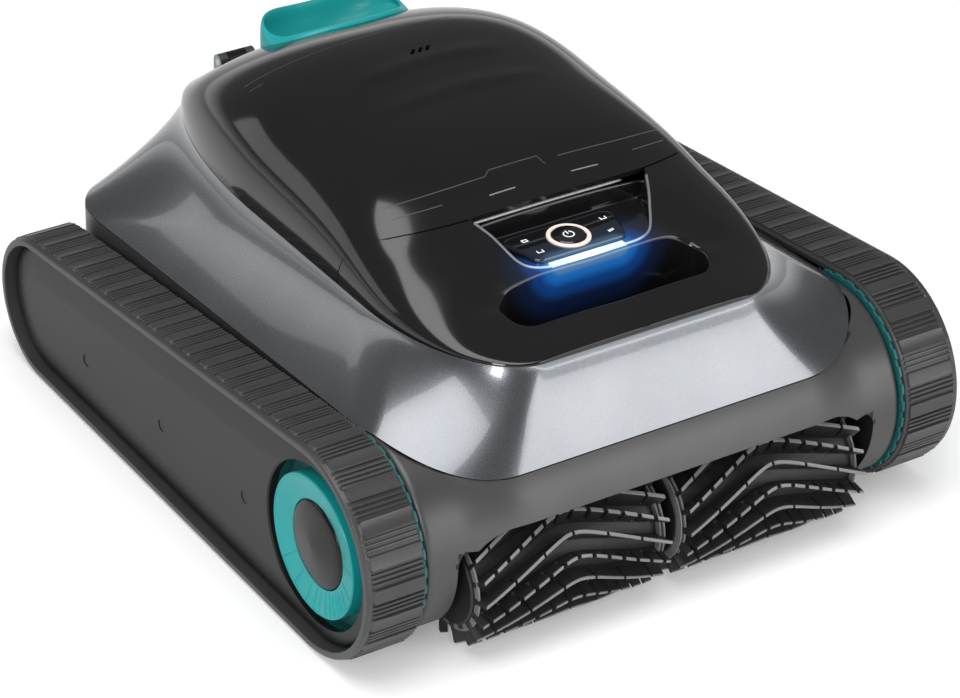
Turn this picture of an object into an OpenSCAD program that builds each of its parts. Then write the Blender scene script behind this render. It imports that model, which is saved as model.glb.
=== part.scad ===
// Cordless pool cleaner on two belts: brush to -Y, +X to the right of someone facing the brush,
// +Z up, millimetres. The origin is on the floor, under the middle of the whole machine.

/* [Overall] */
// Width over the outer faces of both belts
overall_w = 420; // [416:1:424]
// Length from the front of the brush to the back of the belts
overall_l = 460.5; // [459.5:0.5:461.5]

/* [Belts] */
// Width of one belt
belt_w = 38.7; // [38:0.1:39.5]
// Thickness of a belt with its treads
belt_t = 6; // [5.8:0.1:6.2]
// Height of a tread
tread_h = 2; // [1:0.1:2.4]
// Number of treads round one belt
treads = 50; // [40:1:60]
// Distance between the front and rear wheel centres
wheel_base = 336; // [335:0.5:337]
// Radius of the belt round the front wheel
front_r = 67.8; // [67.4:0.1:68.2]
// Radius of the belt round the rear wheel
rear_r = 49.4; // [48.5:0.1:50]

/* [Body] */
// Height of the joint between the upper shell and the dark roof
seam_z = 163; // [160:1:166]
// Height of the roof's crest above that joint
roof_h = 68; // [66:1:70]
// Half width of the roof
roof_w = 126; // [124:1:127]
// Thickness of the roof and shell walls
wall = 3; // [2.6:0.1:3.4]
// Height of the underside above the floor
belly_z = 24; // [23:0.5:25]

/* [Brush and filter] */
// Radius of the brush over its blades
brush_r = 41.7; // [41.4:0.1:42]
// Radius of the brush's hollow drum
drum_r = 28.5; // [26:0.5:30]
// Number of blades round each half of the brush
blades = 18; // [14:1:20]
// Length of the filter basket, front to back
basket_l = 176; // [160:1:178]
// Half width of the filter basket
basket_w = 97; // [90:1:99]
// Radius of the pump's propeller
propeller_r = 37; // [34:0.5:38]

/* [Console] */
// Half width of the grip opening
grip_w = 70; // [67:1:72]
// Radius of the power button
button_r = 10.5; // [9:0.1:11]
// Travel of the power button
button_travel = 1.2; // [0.8:0.1:1.5]

/* [Hidden] */

// places that everything else is set out from
half_w = overall_w / 2;
belt_in = half_w - belt_w;              // inner face of a belt
side_x = belt_in - 3.3;                 // outer face of the lower body
rear_y = overall_l / 2 - rear_r;
front_y = rear_y - wheel_base;
front_c = [front_y, front_r];           // wheel centres, as [y, z]
rear_c = [rear_y, rear_r];
brush_c = [brush_r - overall_l / 2, brush_r + 0.3];
degrees_per_radian = 180 / PI;

// belt line: the bottom run lies on the floor and the top run slopes down to the rear
centre_gap = norm(front_c - rear_c);
slope = 2 * asin((front_r - rear_r) / centre_gap);
run = sqrt(pow(centre_gap, 2) - pow(front_r - rear_r, 2));
front_arc = front_r * (180 + slope) / degrees_per_radian;
rear_arc = rear_r * (180 - slope) / degrees_per_radian;
belt_loop = front_arc + rear_arc + 2 * run;

// roof and shell outlines
roof_front = front_y - 28;
roof_rear = rear_y + 39;
roof_corner_front = [56, 105];
roof_corner_rear = [66, 167];
roof_mid = (roof_front + roof_rear) / 2;
skirt_front = front_y - 54;
skirt_rear = rear_y + 45;
skirt_corner_front = [68, 77];
skirt_corner_rear = [42, 50];
// share of the roof's height along its length, front to back
roof_shape = [[0, 0.04], [0.087, 0.155], [0.201, 0.43], [0.258, 0.56], [0.362, 0.81],
              [0.499, 0.94], [0.697, 1], [0.861, 0.65], [1, 0.01]];
lid_edge = front_y + 76;                // front edge of the lid at the middle
ledge_z = seam_z - 5;                   // the shell's inner ledge, under the roof

// gears: module and tooth counts
ring_teeth = 78;
pinion_teeth = 12;
wheel_module = 1.25;
pinion_offset = (ring_teeth - pinion_teeth) * wheel_module / 2;
motor_c = front_c + [pinion_offset, 0];
axle_teeth = 32;
brush_teeth = 12;
brush_gap = norm(front_c - brush_c);
brush_module = 2 * brush_gap / (axle_teeth + brush_teeth);
brush_way = atan2(brush_c[1] - front_c[1], brush_c[0] - front_c[0]);
pressure = 20;                          // pressure angle of every gear
axle_r = 6;
fit = 0.05;                             // radial clearance of a running fit
clear = 0.4;                            // gap between parts that move past each other

// lid hinge, pump and basket places
hinge_c = [roof_rear + 2.5, seam_z + 5.5];
hinge_x = 40;
pump_y = rear_y - 25;
duct_r = propeller_r + 5;
duct_top = seam_z + 12;
basket_front = lid_edge + 7;
basket_bottom = belly_z + 33;
basket_top = seam_z - 12;
intake_front = basket_front + 8;
intake_l = 38;
intake_w = 62;
basket_y = basket_front + basket_l / 2;
panel_z = seam_z + 22;                  // the control panel's face
panel_mid = front_y + 53;               // middle of the power button
panel_half = 15.5;                      // half the panel's length, front to back
grip_y = front_y + 14;
grip_r = 15.5;
grip_floor = seam_z - 24;
outlet_y = pump_y + 8;                  // middle of the outlet through the lid
grille_z = seam_z + 17;
shaft_r = 3;
flap_c = [intake_front + intake_l - 4.5, basket_bottom - 5];
handle_c = [basket_y - 20, basket_top - 4];
handle_pin = 2;

// charging port, through the back of the lower body
port_x = 118;
port_z = 72;
port_face = skirt_rear;
cap_c = [port_face + 3.1, port_z + 15];

// cross-section of the tunnel round the brush
tunnel_r = brush_r + 4.3;
tunnel_end = side_x - 20;
brush_end = tunnel_end - 10.5;
arch_r = 40;                            // corners of the opening in the nose

function smooth(u) = let(t = max(0, min(1, u))) t * t * (3 - 2 * t);
function mix(a, b, u) = a + (b - a) * u;

// a smooth curve through points [t, value] that rise in t
function piece(p, t, i = 0) = i >= len(p) - 2 || t < p[i + 1][0] ? i : piece(p, t, i + 1);
function grade(p, i) = let(a = p[max(0, i - 1)], b = p[min(len(p) - 1, i + 1)]) (b[1] - a[1]) / (b[0] - a[0]);
function curve(p, t) =
    let(i = piece(p, t), h = p[i + 1][0] - p[i][0], u = max(0, min(1, (t - p[i][0]) / h)))
    p[i][1] * (2 * u * u * u - 3 * u * u + 1) + grade(p, i) * h * (u * u * u - 2 * u * u + u)
    + p[i + 1][1] * (3 * u * u - 2 * u * u * u) + grade(p, i + 1) * h * (u * u * u - u * u);

// rounded plan outline, anticlockwise from the right front corner
function corner(cx, cy, a, b, from) =
    [for (t = [0 : 11.25 : 90]) [cx + a * cos(from + t), cy + b * sin(from + t)]];
function between(p, q, n) = [for (i = [1 : n]) mix(p, q, i / (n + 1))];
function plan(w, f, r, cf, cr) = concat(
    corner(w - cf[0], f + cf[1], cf[0], cf[1], -90), between([w, f + cf[1]], [w, r - cr[1]], 5),
    corner(w - cr[0], r - cr[1], cr[0], cr[1], 0), between([w - cr[0], r], [cr[0] - w, r], 5),
    corner(cr[0] - w, r - cr[1], cr[0], cr[1], 90), between([-w, r - cr[1]], [-w, f + cf[1]], 5),
    corner(cf[0] - w, f + cf[1], cf[0], cf[1], 180), between([cf[0] - w, f], [w - cf[0], f], 5));
function roof_plan(t) = plan(roof_w - t, roof_front + t, roof_rear - t, roof_corner_front, roof_corner_rear);
function skirt_plan(t) =
    plan(side_x - t, skirt_front + t, skirt_rear - t, skirt_corner_front, skirt_corner_rear);
function lift(ring, z) = [for (p = ring) [p[0], p[1], z]];

// half width of the roof at y
function quarter(u) = sqrt(max(0, 1 - u * u));
function roof_half(y, t) =
    let(f = (roof_front + t + roof_corner_front[1] - y) / roof_corner_front[1],
        r = (y - roof_rear + t + roof_corner_rear[1]) / roof_corner_rear[1])
    f > 0 ? roof_w - t - roof_corner_front[0] * (1 - quarter(f))
    : r > 0 ? roof_w - t - roof_corner_rear[0] * (1 - quarter(r)) : roof_w - t;
function roof_z(x, y, t, drop) =
    let(u = min(1, abs(x) / max(1, roof_half(y, t))),
        s = (y - roof_front) / (roof_rear - roof_front))
    seam_z - drop + roof_h * curve(roof_shape, max(0, min(1, s))) * pow(1 - pow(u, 2.6), 0.36);

// joint between the upper shell and the lower body
function seam_cut(x, y) = min(
    seam_z - 51 + 17 * pow(max(0, min(1, (abs(x) - 105) / 60)), 2.2),
    seam_z - 34 - 25 * (y - front_y - 3) / 378);
// radius of the lower body's nose about the front wheel's centre
function nose_r(x) = front_r - 4.9 + 6.8 * (1 - smooth((abs(x) - 100) / 45));

// a closed solid over rings of points: loop joins the last ring to the first
module skin(rings, loop = false) {
    n = len(rings[0]);
    m = len(rings);
    walls = [for (i = [0 : m - (loop ? 1 : 2)], j = [0 : n - 1])
        let(a = i * n + j, b = i * n + (j + 1) % n, k = (i + 1) % m * n)
        each [[a, k + (j + 1) % n, b], [a, k + j, k + (j + 1) % n]]];
    ends = loop ? [] : [for (j = [0 : n - 1])
        each [[m * n, j, (j + 1) % n], [m * n + 1, (m - 1) * n + (j + 1) % n, (m - 1) * n + j]]];
    middles = loop ? [] : [for (r = [rings[0], rings[m - 1]])
        [for (k = [0 : 2]) let(v = [for (p = r) p[k]]) v * [for (p = r) 1] / n]];
    polyhedron(concat([for (r = rings) each r], middles), concat(walls, ends));
}

// joins everything inside into one closed skin, at its own size
module one_skin() resize([0, 0, 0]) children();

// places a drawing made in [y, z] between two x positions
module across(x0, x1) translate([x0, 0, 0]) rotate([90, 0, 90]) linear_extrude(x1 - x0) children();
module rod(c, r, x0, x1, fn = 72) across(x0, x1) translate(c) circle(r, $fn = fn);
module sleeve(c, r, bore, x0, x1) across(x0, x1) translate(c) difference() {
    circle(r, $fn = 72);
    circle(bore, $fn = 72);
}
module side(left) mirror([left ? 1 : 0, 0, 0]) children();
module both() {
    children();
    mirror([1, 0, 0]) children();
}

// solid under the roof's surface, inset by t and lowered by drop
module roof_solid(t, drop, base) {
    outline = roof_plan(t);
    steps = [1, 0.985, 0.955, 0.9, 0.82, 0.7, 0.52, 0.3, 0.1];
    skin(concat([lift(outline, base)], [for (s = steps)
        [for (p = outline)
            let(x = p[0] * s, y = roof_mid + (p[1] - roof_mid) * s)
            [x, y, max(base + 0.01, roof_z(s == 1 ? p[0] * 0.9999 : x, y, t, drop))]]]));
}

// ---- shells -------------------------------------------------------------------------------

function shell_ring(v, t) =
    let(top = roof_plan(t), low = skirt_plan(t))
    [for (i = [0 : len(top) - 1])
        let(bend = 1.5 - 0.25 * smooth((front_y + 40 - low[i][1]) / 80),
            p = mix(top[i], low[i], pow(v, bend)))
        [p[0], p[1], mix(seam_z - 0.6, seam_cut(low[i][0], low[i][1]) + 0.3, v)]];

module upper_shell() {
    outer = [for (v = [1, 0.9, 0.75, 0.6, 0.45, 0.3, 0.15, 0]) shell_ring(v, 0)];
    step = [[2.4, seam_z - 0.6], [2.4, ledge_z], [14, ledge_z], [14, ledge_z - 4], [wall + 1, ledge_z - 4]];
    ledge = [for (q = step) lift(roof_plan(q[0]), q[1])];
    inner = [for (v = [0.25, 0.45, 0.65, 0.85, 1]) shell_ring(v, wall)];
    color("slategray") one_skin() difference() {
        skin(concat(outer, ledge, inner), loop = true);
        for (x = [-hinge_x, hinge_x]) translate([x - 13, roof_rear - 6, ledge_z - 6]) cube([26, 20, 20]);
    }
}

// back of the lower body at x, and its outline there seen from the side, both inset by t
function back_at(x, t) =
    let(u = (abs(x) - side_x + skirt_corner_rear[0]) / skirt_corner_rear[0])
    skirt_rear - t - skirt_corner_rear[1] * (1 - quarter(max(0, u)));
function body_profile(x, t) =
    let(r = nose_r(x) - t, low = asin((front_r - belly_z - t) / r), back = back_at(x, t))
    concat([for (i = [0 : 15]) let(a = mix(90, 180 + low, i / 15))
               [x, front_y + r * cos(a), front_r + r * sin(a)]],
           [for (a = [-90 : 30 : 0]) [x, back - 18 + 18 * cos(a), belly_z + t + 18 + 18 * sin(a)]],
           [[x, back, front_r + r]]);
station_half = [0.3, 0.6, 0.67, 0.74, 0.8, 0.86, 0.92, 0.965, 0.99, 1];
function stations(w) = concat([for (i = [9 : -1 : 0]) -station_half[i] * w], [0], station_half * w);
module body_solid(t) skin([for (x = stations(side_x - t)) body_profile(x, t)]);

// everything above the joint with the upper shell
module above_seam() {
    xs = stations(side_x + 4);
    ys = [for (i = [0 : 12]) mix(skirt_front - 20, skirt_rear + 10, i / 12)];
    skin([for (x = xs) concat(
        [for (y = ys) [x, y, seam_cut(x, y) - 0.3]],
        [[x, ys[12], seam_z + 30], [x, ys[0], seam_z + 30]])]);
}

// the brush's tunnel grown by t, with the arched opening that it makes in the nose
module tunnel_space(t, ends) {
    rod(brush_c, tunnel_r + t, -tunnel_end - ends, tunnel_end + ends, 64);
    translate([0, brush_c[0], brush_c[1]]) rotate([90, 0, 0]) linear_extrude(60) hull() {
        for (s = [-1, 1])
            translate([s * (tunnel_end - arch_r), tunnel_r - 1 - arch_r]) circle(arch_r + t, $fn = 48);
        translate([-tunnel_end - ends, -60]) square([2 * (tunnel_end + ends), 40]);
    }
}
module lower_body() color("dimgray") one_skin() difference() {
    body_solid(0);
    above_seam();
    difference() {
        body_solid(2.4);
        tunnel_space(3, 2.5);
        translate([-30, pump_y - 30, belly_z]) cube([60, 60, 6]);
    }
    tunnel_space(0, 0);
    for (s = [-1, 1]) {
        rod(brush_c, 8.2, s * (tunnel_end + 2) - 4, s * (tunnel_end + 2) + 4, 32);
        rod(front_c, 12.2, s * side_x - 5, s * side_x + 5, 48);
        rod(motor_c, 5, s * side_x - 5, s * side_x + 5, 32);
        rod(rear_c, 10.1, s * side_x - 5, s * side_x + 5, 32);
    }
    translate([-intake_w - 3, intake_front - 3, belly_z - 5]) cube([2 * intake_w + 6, intake_l + 6, 12]);
    port_place(15) cylinder(r = 11, h = 30, $fn = 40);
}

// ---- roof: console and lid ----------------------------------------------------------------

// plan of everything behind the lid's front edge; the edge bows back towards the sides
module behind_edge(gap) linear_extrude(200) polygon(concat(
    [for (i = [-12 : 12]) let(x = i * 12) [x, lid_edge + 30 * pow(abs(x) / roof_w, 4) + gap]],
    [[150, roof_rear + 20], [-150, roof_rear + 20]]));

module stadium(w, r) hull() for (s = [-1, 1]) translate([s * (w - r), 0]) circle(r, $fn = 32);

// open grip in front of the panel, deep enough for four fingers
module grip_space(t)
    translate([0, grip_y, grip_floor - t]) linear_extrude(80) stadium(grip_w + t, grip_r + t);

// plan of the control panel, grown by t; it narrows towards the grip
module panel_plan(t) translate([0, panel_mid]) offset(r = 6 + t)
    polygon([[-27, 6 - panel_half], [27, 6 - panel_half], [33, panel_half - 6], [-33, panel_half - 6]]);

// funnel-shaped hollow under the lid's lip, and the pocket in its floor that holds the panel
module panel_space() {
    hull() {
        translate([0, 0, panel_z - 3]) linear_extrude(0.1)
            polygon([[-34, grip_y], [34, grip_y], [42, lid_edge - 0.4], [-42, lid_edge - 0.4]]);
        translate([0, 0, panel_z + 22]) linear_extrude(0.1)
            polygon([[-52, grip_y], [52, grip_y], [67, lid_edge - 0.4], [-67, lid_edge - 0.4]]);
    }
    translate([0, 0, panel_z - 8]) linear_extrude(20) panel_plan(0.4);
}

module console() color([0.11, 0.11, 0.12]) one_skin() {
    difference() {
        union() {
            difference() {
                union() {
                    roof_solid(0, 0, seam_z);
                    translate([0, 0, ledge_z]) linear_extrude(6) polygon(roof_plan(wall));
                }
                roof_solid(wall + 3, 4, ledge_z - 1);
            }
            intersection() {
                union() {
                    grip_space(2.5);
                    translate([-72, grip_y, panel_z - 12]) cube([144, lid_edge - grip_y, 60]);
                }
                roof_solid(1, 1, seam_z - 28);
            }
        }
        translate([0, 0, seam_z - 60]) behind_edge(-0.4);
        grip_space(0);
        panel_space();
    }
    // wall at the back of the hollow, under the lid's lip
    intersection() {
        translate([-72, lid_edge - 0.5, panel_z - 12]) cube([144, 3, 60]);
        roof_solid(wall + 1, wall + 1.2, seam_z);
    }
}

module control_panel() color([0.08, 0.08, 0.09])
    translate([0, 0, panel_z - 8]) linear_extrude(8) difference() {
        panel_plan(0);
        translate([0, panel_mid]) circle(button_r + 3, $fn = 64);
    }
module light_bar() color([0.3, 0.8, 1])
    translate([-26, panel_mid - panel_half - 6.5, panel_z - 3]) cube([52, 4.5, 1.2]);
module button_ring() color([0.9, 0.75, 0.7])
    translate([0, panel_mid, panel_z - 8]) rotate_extrude($fn = 96) translate([button_r, 0])
        polygon([[0.3, 0], [2.9, 0], [2.9, 8.6], [2.2, 9.2], [0.3, 9.2]]);
module power_button() color([0.1, 0.1, 0.11])
    translate([0, panel_mid, panel_z - 6]) rotate_extrude($fn = 96)
        polygon([[0, 0], [button_r, 0], [button_r, 7], [button_r - 0.8, 7.6], [0, 7.2]]);
module control_board() color([0.1, 0.35, 0.2]) {
    translate([-38, panel_mid - 13, panel_z - 13.6]) cube([76, 26, 1.6]);
    for (x = [-28, -8, 16]) translate([x, panel_mid - 8, panel_z - 16.6]) cube([12, 14, 3]);
}

module lid() color([0.12, 0.12, 0.13]) {
    one_skin() difference() {
        intersection() {
            difference() {
                roof_solid(0, 0, seam_z);
                roof_solid(wall, wall, seam_z - 1);
            }
            translate([0, 0, seam_z - 60]) behind_edge(0.4);
        }
        outlet_hole();
        for (x = [-6.5, 0, 6.5]) translate([x - 1.4, roof_mid + 48, seam_z + 40]) rotate([0, 0, -12])
            cube([2.8, 10, 40]);
        for (x = [-hinge_x, hinge_x]) translate([x - 13.4, roof_rear - 5, seam_z - 2]) cube([26.8, 20, 14.2]);
    }
    for (x = [-hinge_x, hinge_x]) difference() {
        union() {
            rod(hinge_c, 5, x - 6.6, x + 6.6);
            translate([x - 6.6, hinge_c[0] - 14, hinge_c[1] - 2]) cube([13.2, 14, 6]);
        }
        rod(hinge_c, 2.5, x - 7, x + 7);
    }
}

// oval outlet through the lid, over the pump
module oval(a, b) resize([2 * a, 2 * b]) circle(a, $fn = 48);
module outlet_hole() translate([0, outlet_y, seam_z]) linear_extrude(100) oval(43, 26);

module lid_seal() color([0.05, 0.05, 0.05]) one_skin() intersection() {
    translate([0, 0, ledge_z + 0.3]) linear_extrude(seam_z - ledge_z - 0.3) difference() {
        polygon(roof_plan(2.8));
        polygon(roof_plan(6.5));
    }
    behind_edge(3);
}
// rib under the lid that stands behind the hollow's back wall, with a soft nose on it
module lid_catch() color([0.15, 0.15, 0.16]) one_skin() intersection() {
    union() {
        translate([-14, lid_edge + 4, panel_z - 12]) cube([28, 3, 60]);
        translate([-10, lid_edge + 3, panel_z - 8]) cube([20, 2, 4]);
    }
    roof_solid(wall, wall, seam_z - 1);
}

// ring of the cowl: the back lip stands high and the front hugs the lid; rise 0 is the lid's surface
function cowl_ring(rise, a, b) = [for (q = [0 : 10 : 350])
    let(x = a * cos(q), y = outlet_y + 4 * rise + b * sin(q), high = 3 + 26 * smooth((sin(q) + 0.55) / 1.5))
    [x, y, roof_z(x, y, 0, 0) + rise * high - (rise > 0 ? 0 : 3)]];
module outlet_cowl() color([0.15, 0.75, 0.75]) one_skin() {
    difference() {
        skin([for (k = [[0, 52, 30], [0.4, 51, 31], [0.75, 50, 32], [1, 48, 31]])
            cowl_ring(k[0], k[1], k[2])]);
        skin([for (k = [[0, 40.5, 23.5], [0.15, 44, 26], [0.5, 47.5, 28.5], [1.1, 46.5, 29.5]])
            cowl_ring(k[0], k[1], k[2])]);
        roof_solid(0, 0, seam_z);
    }
    // collar through the lid that carries the grille
    difference() {
        intersection() {
            translate([0, outlet_y, grille_z]) linear_extrude(60) oval(42.9, 25.9);
            skin([lift(cowl_ring(0, 48, 30), grille_z - 1), cowl_ring(0.12, 48, 30)]);
        }
        translate([0, outlet_y, grille_z - 1]) linear_extrude(80) oval(40.5, 23.5);
    }
}
module outlet_grille() color([0.12, 0.12, 0.13]) translate([0, outlet_y, grille_z]) linear_extrude(2.5) {
    difference() {
        oval(40.5, 23.5);
        oval(37, 20);
    }
    intersection() {
        for (x = [-32 : 8 : 32]) translate([x - 1, -30]) square([2, 60]);
        oval(39, 22);
    }
}

module hinge_brackets() color("slategray") for (x = [-hinge_x, hinge_x], e = [-1, 1]) difference() {
    union() {
        rod(hinge_c, 5, x + e * 10 - 3, x + e * 10 + 3);
        translate([x + e * 10 - 3, hinge_c[0] - 5, ledge_z - 6]) cube([6, 10, hinge_c[1] - ledge_z + 6]);
    }
    rod(hinge_c, 2.5, x + e * 10 - 4, x + e * 10 + 4);
}
module hinge_pins() color("silver") for (x = [-hinge_x, hinge_x]) rod(hinge_c, 2.5 - fit, x - 13, x + 13);

// ---- pump and filter ----------------------------------------------------------------------

module outlet_duct() color([0.2, 0.2, 0.21]) translate([0, pump_y, 0]) {
    translate([0, 0, duct_top - 62]) difference() {
        cylinder(r = duct_r, h = 62, $fn = 96);
        translate([0, 0, -1]) cylinder(r = duct_r - 2.5, h = 64, $fn = 96);
    }
    translate([0, 0, duct_top - 62]) difference() {
        union() {
            cylinder(r = 12, h = 14, $fn = 64);
            for (a = [0 : 90 : 270]) rotate([0, 0, a + 45]) translate([0, -1.5, 0]) cube([duct_r - 1, 3, 8]);
        }
        translate([0, 0, -1]) cylinder(r = shaft_r + fit, h = 16, $fn = 64);
    }
}
module pump_motor() color([0.3, 0.3, 0.32]) translate([0, pump_y, belly_z + 6]) difference() {
    union() {
        cylinder(r = 27, h = 4, $fn = 96);
        cylinder(r = 24, h = duct_top - 62 - belly_z - 6, $fn = 96);
        for (a = [0 : 15 : 345]) rotate([0, 0, a]) translate([23, -1, 14]) cube([3, 2, 50]);
    }
    translate([0, 0, 40]) cylinder(r = shaft_r + fit, h = 100, $fn = 64);
}
module pump_shaft() color("silver")
    translate([0, pump_y, belly_z + 50]) cylinder(r = shaft_r, h = duct_top - 84 - belly_z, $fn = 64);
module propeller() color([0.15, 0.75, 0.75]) translate([0, pump_y, duct_top - 46]) {
    difference() {
        cylinder(r = 10, h = 13, $fn = 64);
        translate([0, 0, -1]) cylinder(r = shaft_r, h = 13, $fn = 64);
    }
    for (a = [0 : 120 : 240]) rotate([0, 0, a]) propeller_blade();
}
// one twisted blade, from the boss to just inside the duct
module propeller_blade() skin([for (k = [0 : 5])
    let(r = mix(9, propeller_r, k / 5), pitch = mix(52, 22, k / 5), chord = mix(6, 13, sin(k * 30)))
    [for (q = [[-1, -0.6], [1, -0.6], [1, 0.6], [-1, 0.6]])
        let(u = q[0] * chord, w = q[1])
        [r, u * cos(pitch) - w * sin(pitch), 6.5 + (u * sin(pitch) + w * cos(pitch)) * 0.5]]]);

module basket_plan(t) translate([0, basket_y]) offset(r = 12)
    square([2 * (basket_w - t - 12), basket_l - 2 * (t + 12)], center = true);
module basket_frame() color([0.14, 0.14, 0.15]) {
    window_z = basket_bottom + 14;
    window_h = basket_top - basket_bottom - 28;
    one_skin() difference() {
        union() {
            translate([0, 0, basket_top - 7]) linear_extrude(7) basket_plan(-1.5);
            translate([0, 0, basket_bottom]) linear_extrude(basket_top - basket_bottom) basket_plan(0);
        }
        translate([0, 0, basket_bottom + 3]) linear_extrude(200) basket_plan(2.5);
        for (y = [basket_front + 20, basket_y + 6])
            translate([-basket_w - 5, y, window_z]) cube([2 * basket_w + 10, basket_l / 2 - 26, window_h]);
        for (x = [-80, 6]) translate([x, basket_front - 5, window_z]) cube([74, basket_l + 10, window_h]);
        translate([-intake_w, intake_front, basket_bottom - 1]) cube([2 * intake_w, intake_l, 8]);
    }
    both() rod(handle_c, handle_pin, basket_w - 11.5, basket_w - 2);
}
module basket_mesh() color([0.75, 0.76, 0.78])
    translate([0, 0, basket_bottom + 12]) linear_extrude(basket_top - basket_bottom - 24) difference() {
        translate([0, basket_y]) square([2 * basket_w - 5.4, basket_l - 5.4], center = true);
        translate([0, basket_y]) square([2 * basket_w - 7, basket_l - 7], center = true);
        for (x = [-1, 1], y = [-1, 1])
            translate([x * basket_w, basket_y + y * basket_l / 2]) square(40, center = true);
    }
// folding bail: it lies flat inside the basket's rim and swings up to lift the basket out
module basket_handle() color([0.15, 0.7, 0.7]) {
    arm_x = basket_w - 6;
    reach = 38;
    across(-arm_x, arm_x) translate([handle_c[0] + reach, handle_c[1] - 3]) square([7, 6]);
    both() across(arm_x - 5, arm_x) difference() {
        translate([handle_c[0] - 5, handle_c[1] - 3]) square([reach + 6, 6]);
        translate(handle_c) circle(handle_pin + fit, $fn = 48);
    }
}

module intake_frame() color([0.14, 0.14, 0.15]) difference() {
    union() {
        difference() {
            union() {
                translate([-intake_w - 2.7, intake_front - 2.7, belly_z + 0.5])
                    cube([2 * intake_w + 5.4, intake_l + 5.4, basket_bottom - belly_z - 0.6]);
                translate([-intake_w - 9, intake_front - 9, belly_z - 2])
                    cube([2 * intake_w + 18, intake_l + 18, 2]);
            }
            translate([-intake_w, intake_front, belly_z - 5]) cube([2 * intake_w, intake_l, 60]);
        }
        // lugs for the flap pin
        for (x = [[-intake_w, 4], [-2.5, 5], [intake_w - 4, 4]])
            translate([x[0], flap_c[0] - 3, flap_c[1] - 4]) cube([x[1], 8, 8.9]);
    }
    rod(flap_c, 1.6, -intake_w - 3, intake_w + 3, 48);
}
module flap_pin() color("silver") rod(flap_c, 1.6, -intake_w - 2.7, intake_w + 2.7, 48);
module intake_flap() color([0.12, 0.12, 0.12]) across(4, intake_w - 4.5) difference() {
    union() {
        translate(flap_c) circle(3.4, $fn = 48);
        translate([intake_front + 1, flap_c[1] - 1]) square([intake_l - 5, 2.2]);
    }
    translate(flap_c) circle(1.6 + fit, $fn = 48);
}
module intake_flap_left() side(true) intake_flap();
module intake_flap_right() intake_flap();

module battery_pack() color([0.2, 0.25, 0.45]) translate([0, intake_front + intake_l + 8, belly_z + 2.4]) {
    linear_extrude(26) translate([-68, 0]) square([136, 108]);
    for (x = [-60, 40]) translate([x, 20, 26]) cube([20, 60, 2]);
}

// ---- drive --------------------------------------------------------------------------------

// involute gear outline; play thins the teeth, reach and root set the tip and the foot
function involute(a) = tan(a) * degrees_per_radian - a;
function tooth_half(n, m, r, play) =
    let(pr = n * m / 2, base = pr * cos(pressure), q = max(r, base))
    90 / n - play / pr * degrees_per_radian + involute(pressure) - involute(acos(base / q));
function gear_points(n, m, play, reach, root) =
    let(pr = n * m / 2, rs = [for (k = [0 : 4]) mix(pr - root, pr + reach, k / 4)])
    [for (i = [0 : n - 1], k = [0 : 9])
        let(r = rs[k < 5 ? k : 9 - k], a = 360 * i / n + (k < 5 ? -1 : 1) * tooth_half(n, m, r, play))
        [r * cos(a), r * sin(a)]];
module gear(n, m, turn) rotate(turn) polygon(gear_points(n, m, 0.08, m, 1.2 * m));

module drive_motor() color([0.62, 0.63, 0.65]) difference() {
    union() {
        rod(motor_c, 18, tunnel_end - 66, tunnel_end - 12);
        rod(motor_c, 15, tunnel_end - 12, tunnel_end - 2);
        across(tunnel_end - 60, tunnel_end - 20) translate([motor_c[0] - 12, belly_z + 2.4]) square([24, 30]);
    }
    rod(motor_c, 2.5 + fit, tunnel_end - 14, tunnel_end);
}
module drive_motor_left() side(true) drive_motor();
module drive_motor_right() drive_motor();
module motor_pinion() color("gold") {
    rod(motor_c, 2.5, tunnel_end - 13, belt_in + 2);
    across(belt_in + 1.2, belt_in + 8.2) translate(motor_c) gear(pinion_teeth, wheel_module, 0);
}
module motor_pinion_left() side(true) motor_pinion();
module motor_pinion_right() motor_pinion();

// flanged bearings in the lower body's sides, and the bushes of the brush's outer ends
module drive_bearings() color([0.55, 0.45, 0.25]) both() {
    sleeve(front_c, 12, axle_r + fit, side_x - 2.3, side_x + 15);
    sleeve(front_c, 22, 12, side_x, side_x + 2);
    sleeve(brush_c, 8, 5 + fit, tunnel_end, tunnel_end + 2.4);
}
module drive_axle() color("silver") rod(front_c, axle_r, tunnel_end + 3, belt_in + 29);
module drive_axle_left() side(true) drive_axle();
module drive_axle_right() drive_axle();
module brush_drive_gear() color([0.85, 0.85, 0.82])
    across(tunnel_end + 3, tunnel_end + 8.5) translate(front_c) difference() {
        gear(axle_teeth, brush_module, brush_way);
        circle(axle_r, $fn = 64);
    }
module brush_drive_gear_left() side(true) brush_drive_gear();
module brush_drive_gear_right() brush_drive_gear();

rim_r = front_r - belt_t - clear;
module drive_sprocket() color([0.12, 0.62, 0.62]) {
    across(belt_in - 2.2, belt_in - 0.5) translate(front_c) difference() {
        polygon([for (i = [0 : 35], q = [[0, 62.8], [0.08, 64.2], [0.6, 64.2], [0.68, 62.8]])
            let(a = (i + q[0]) * 10) q[1] * [cos(a), sin(a)]]);
        circle(55, $fn = 96);
    }
    sleeve(front_c, rim_r, 52, belt_in - 0.5, belt_in + 27);
    sleeve(front_c, 53, axle_r, belt_in + 16, belt_in + 20);
    sleeve(front_c, 11, axle_r, belt_in + 20, belt_in + 28);
    across(belt_in + 0.7, belt_in + 9) translate(front_c) difference() {
        circle(52.5, $fn = 96);
        polygon(gear_points(ring_teeth, wheel_module, -0.08, 1.25 * wheel_module, 0.95 * wheel_module));
    }
}
module drive_sprocket_left() side(true) drive_sprocket();
module drive_sprocket_right() drive_sprocket();

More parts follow.
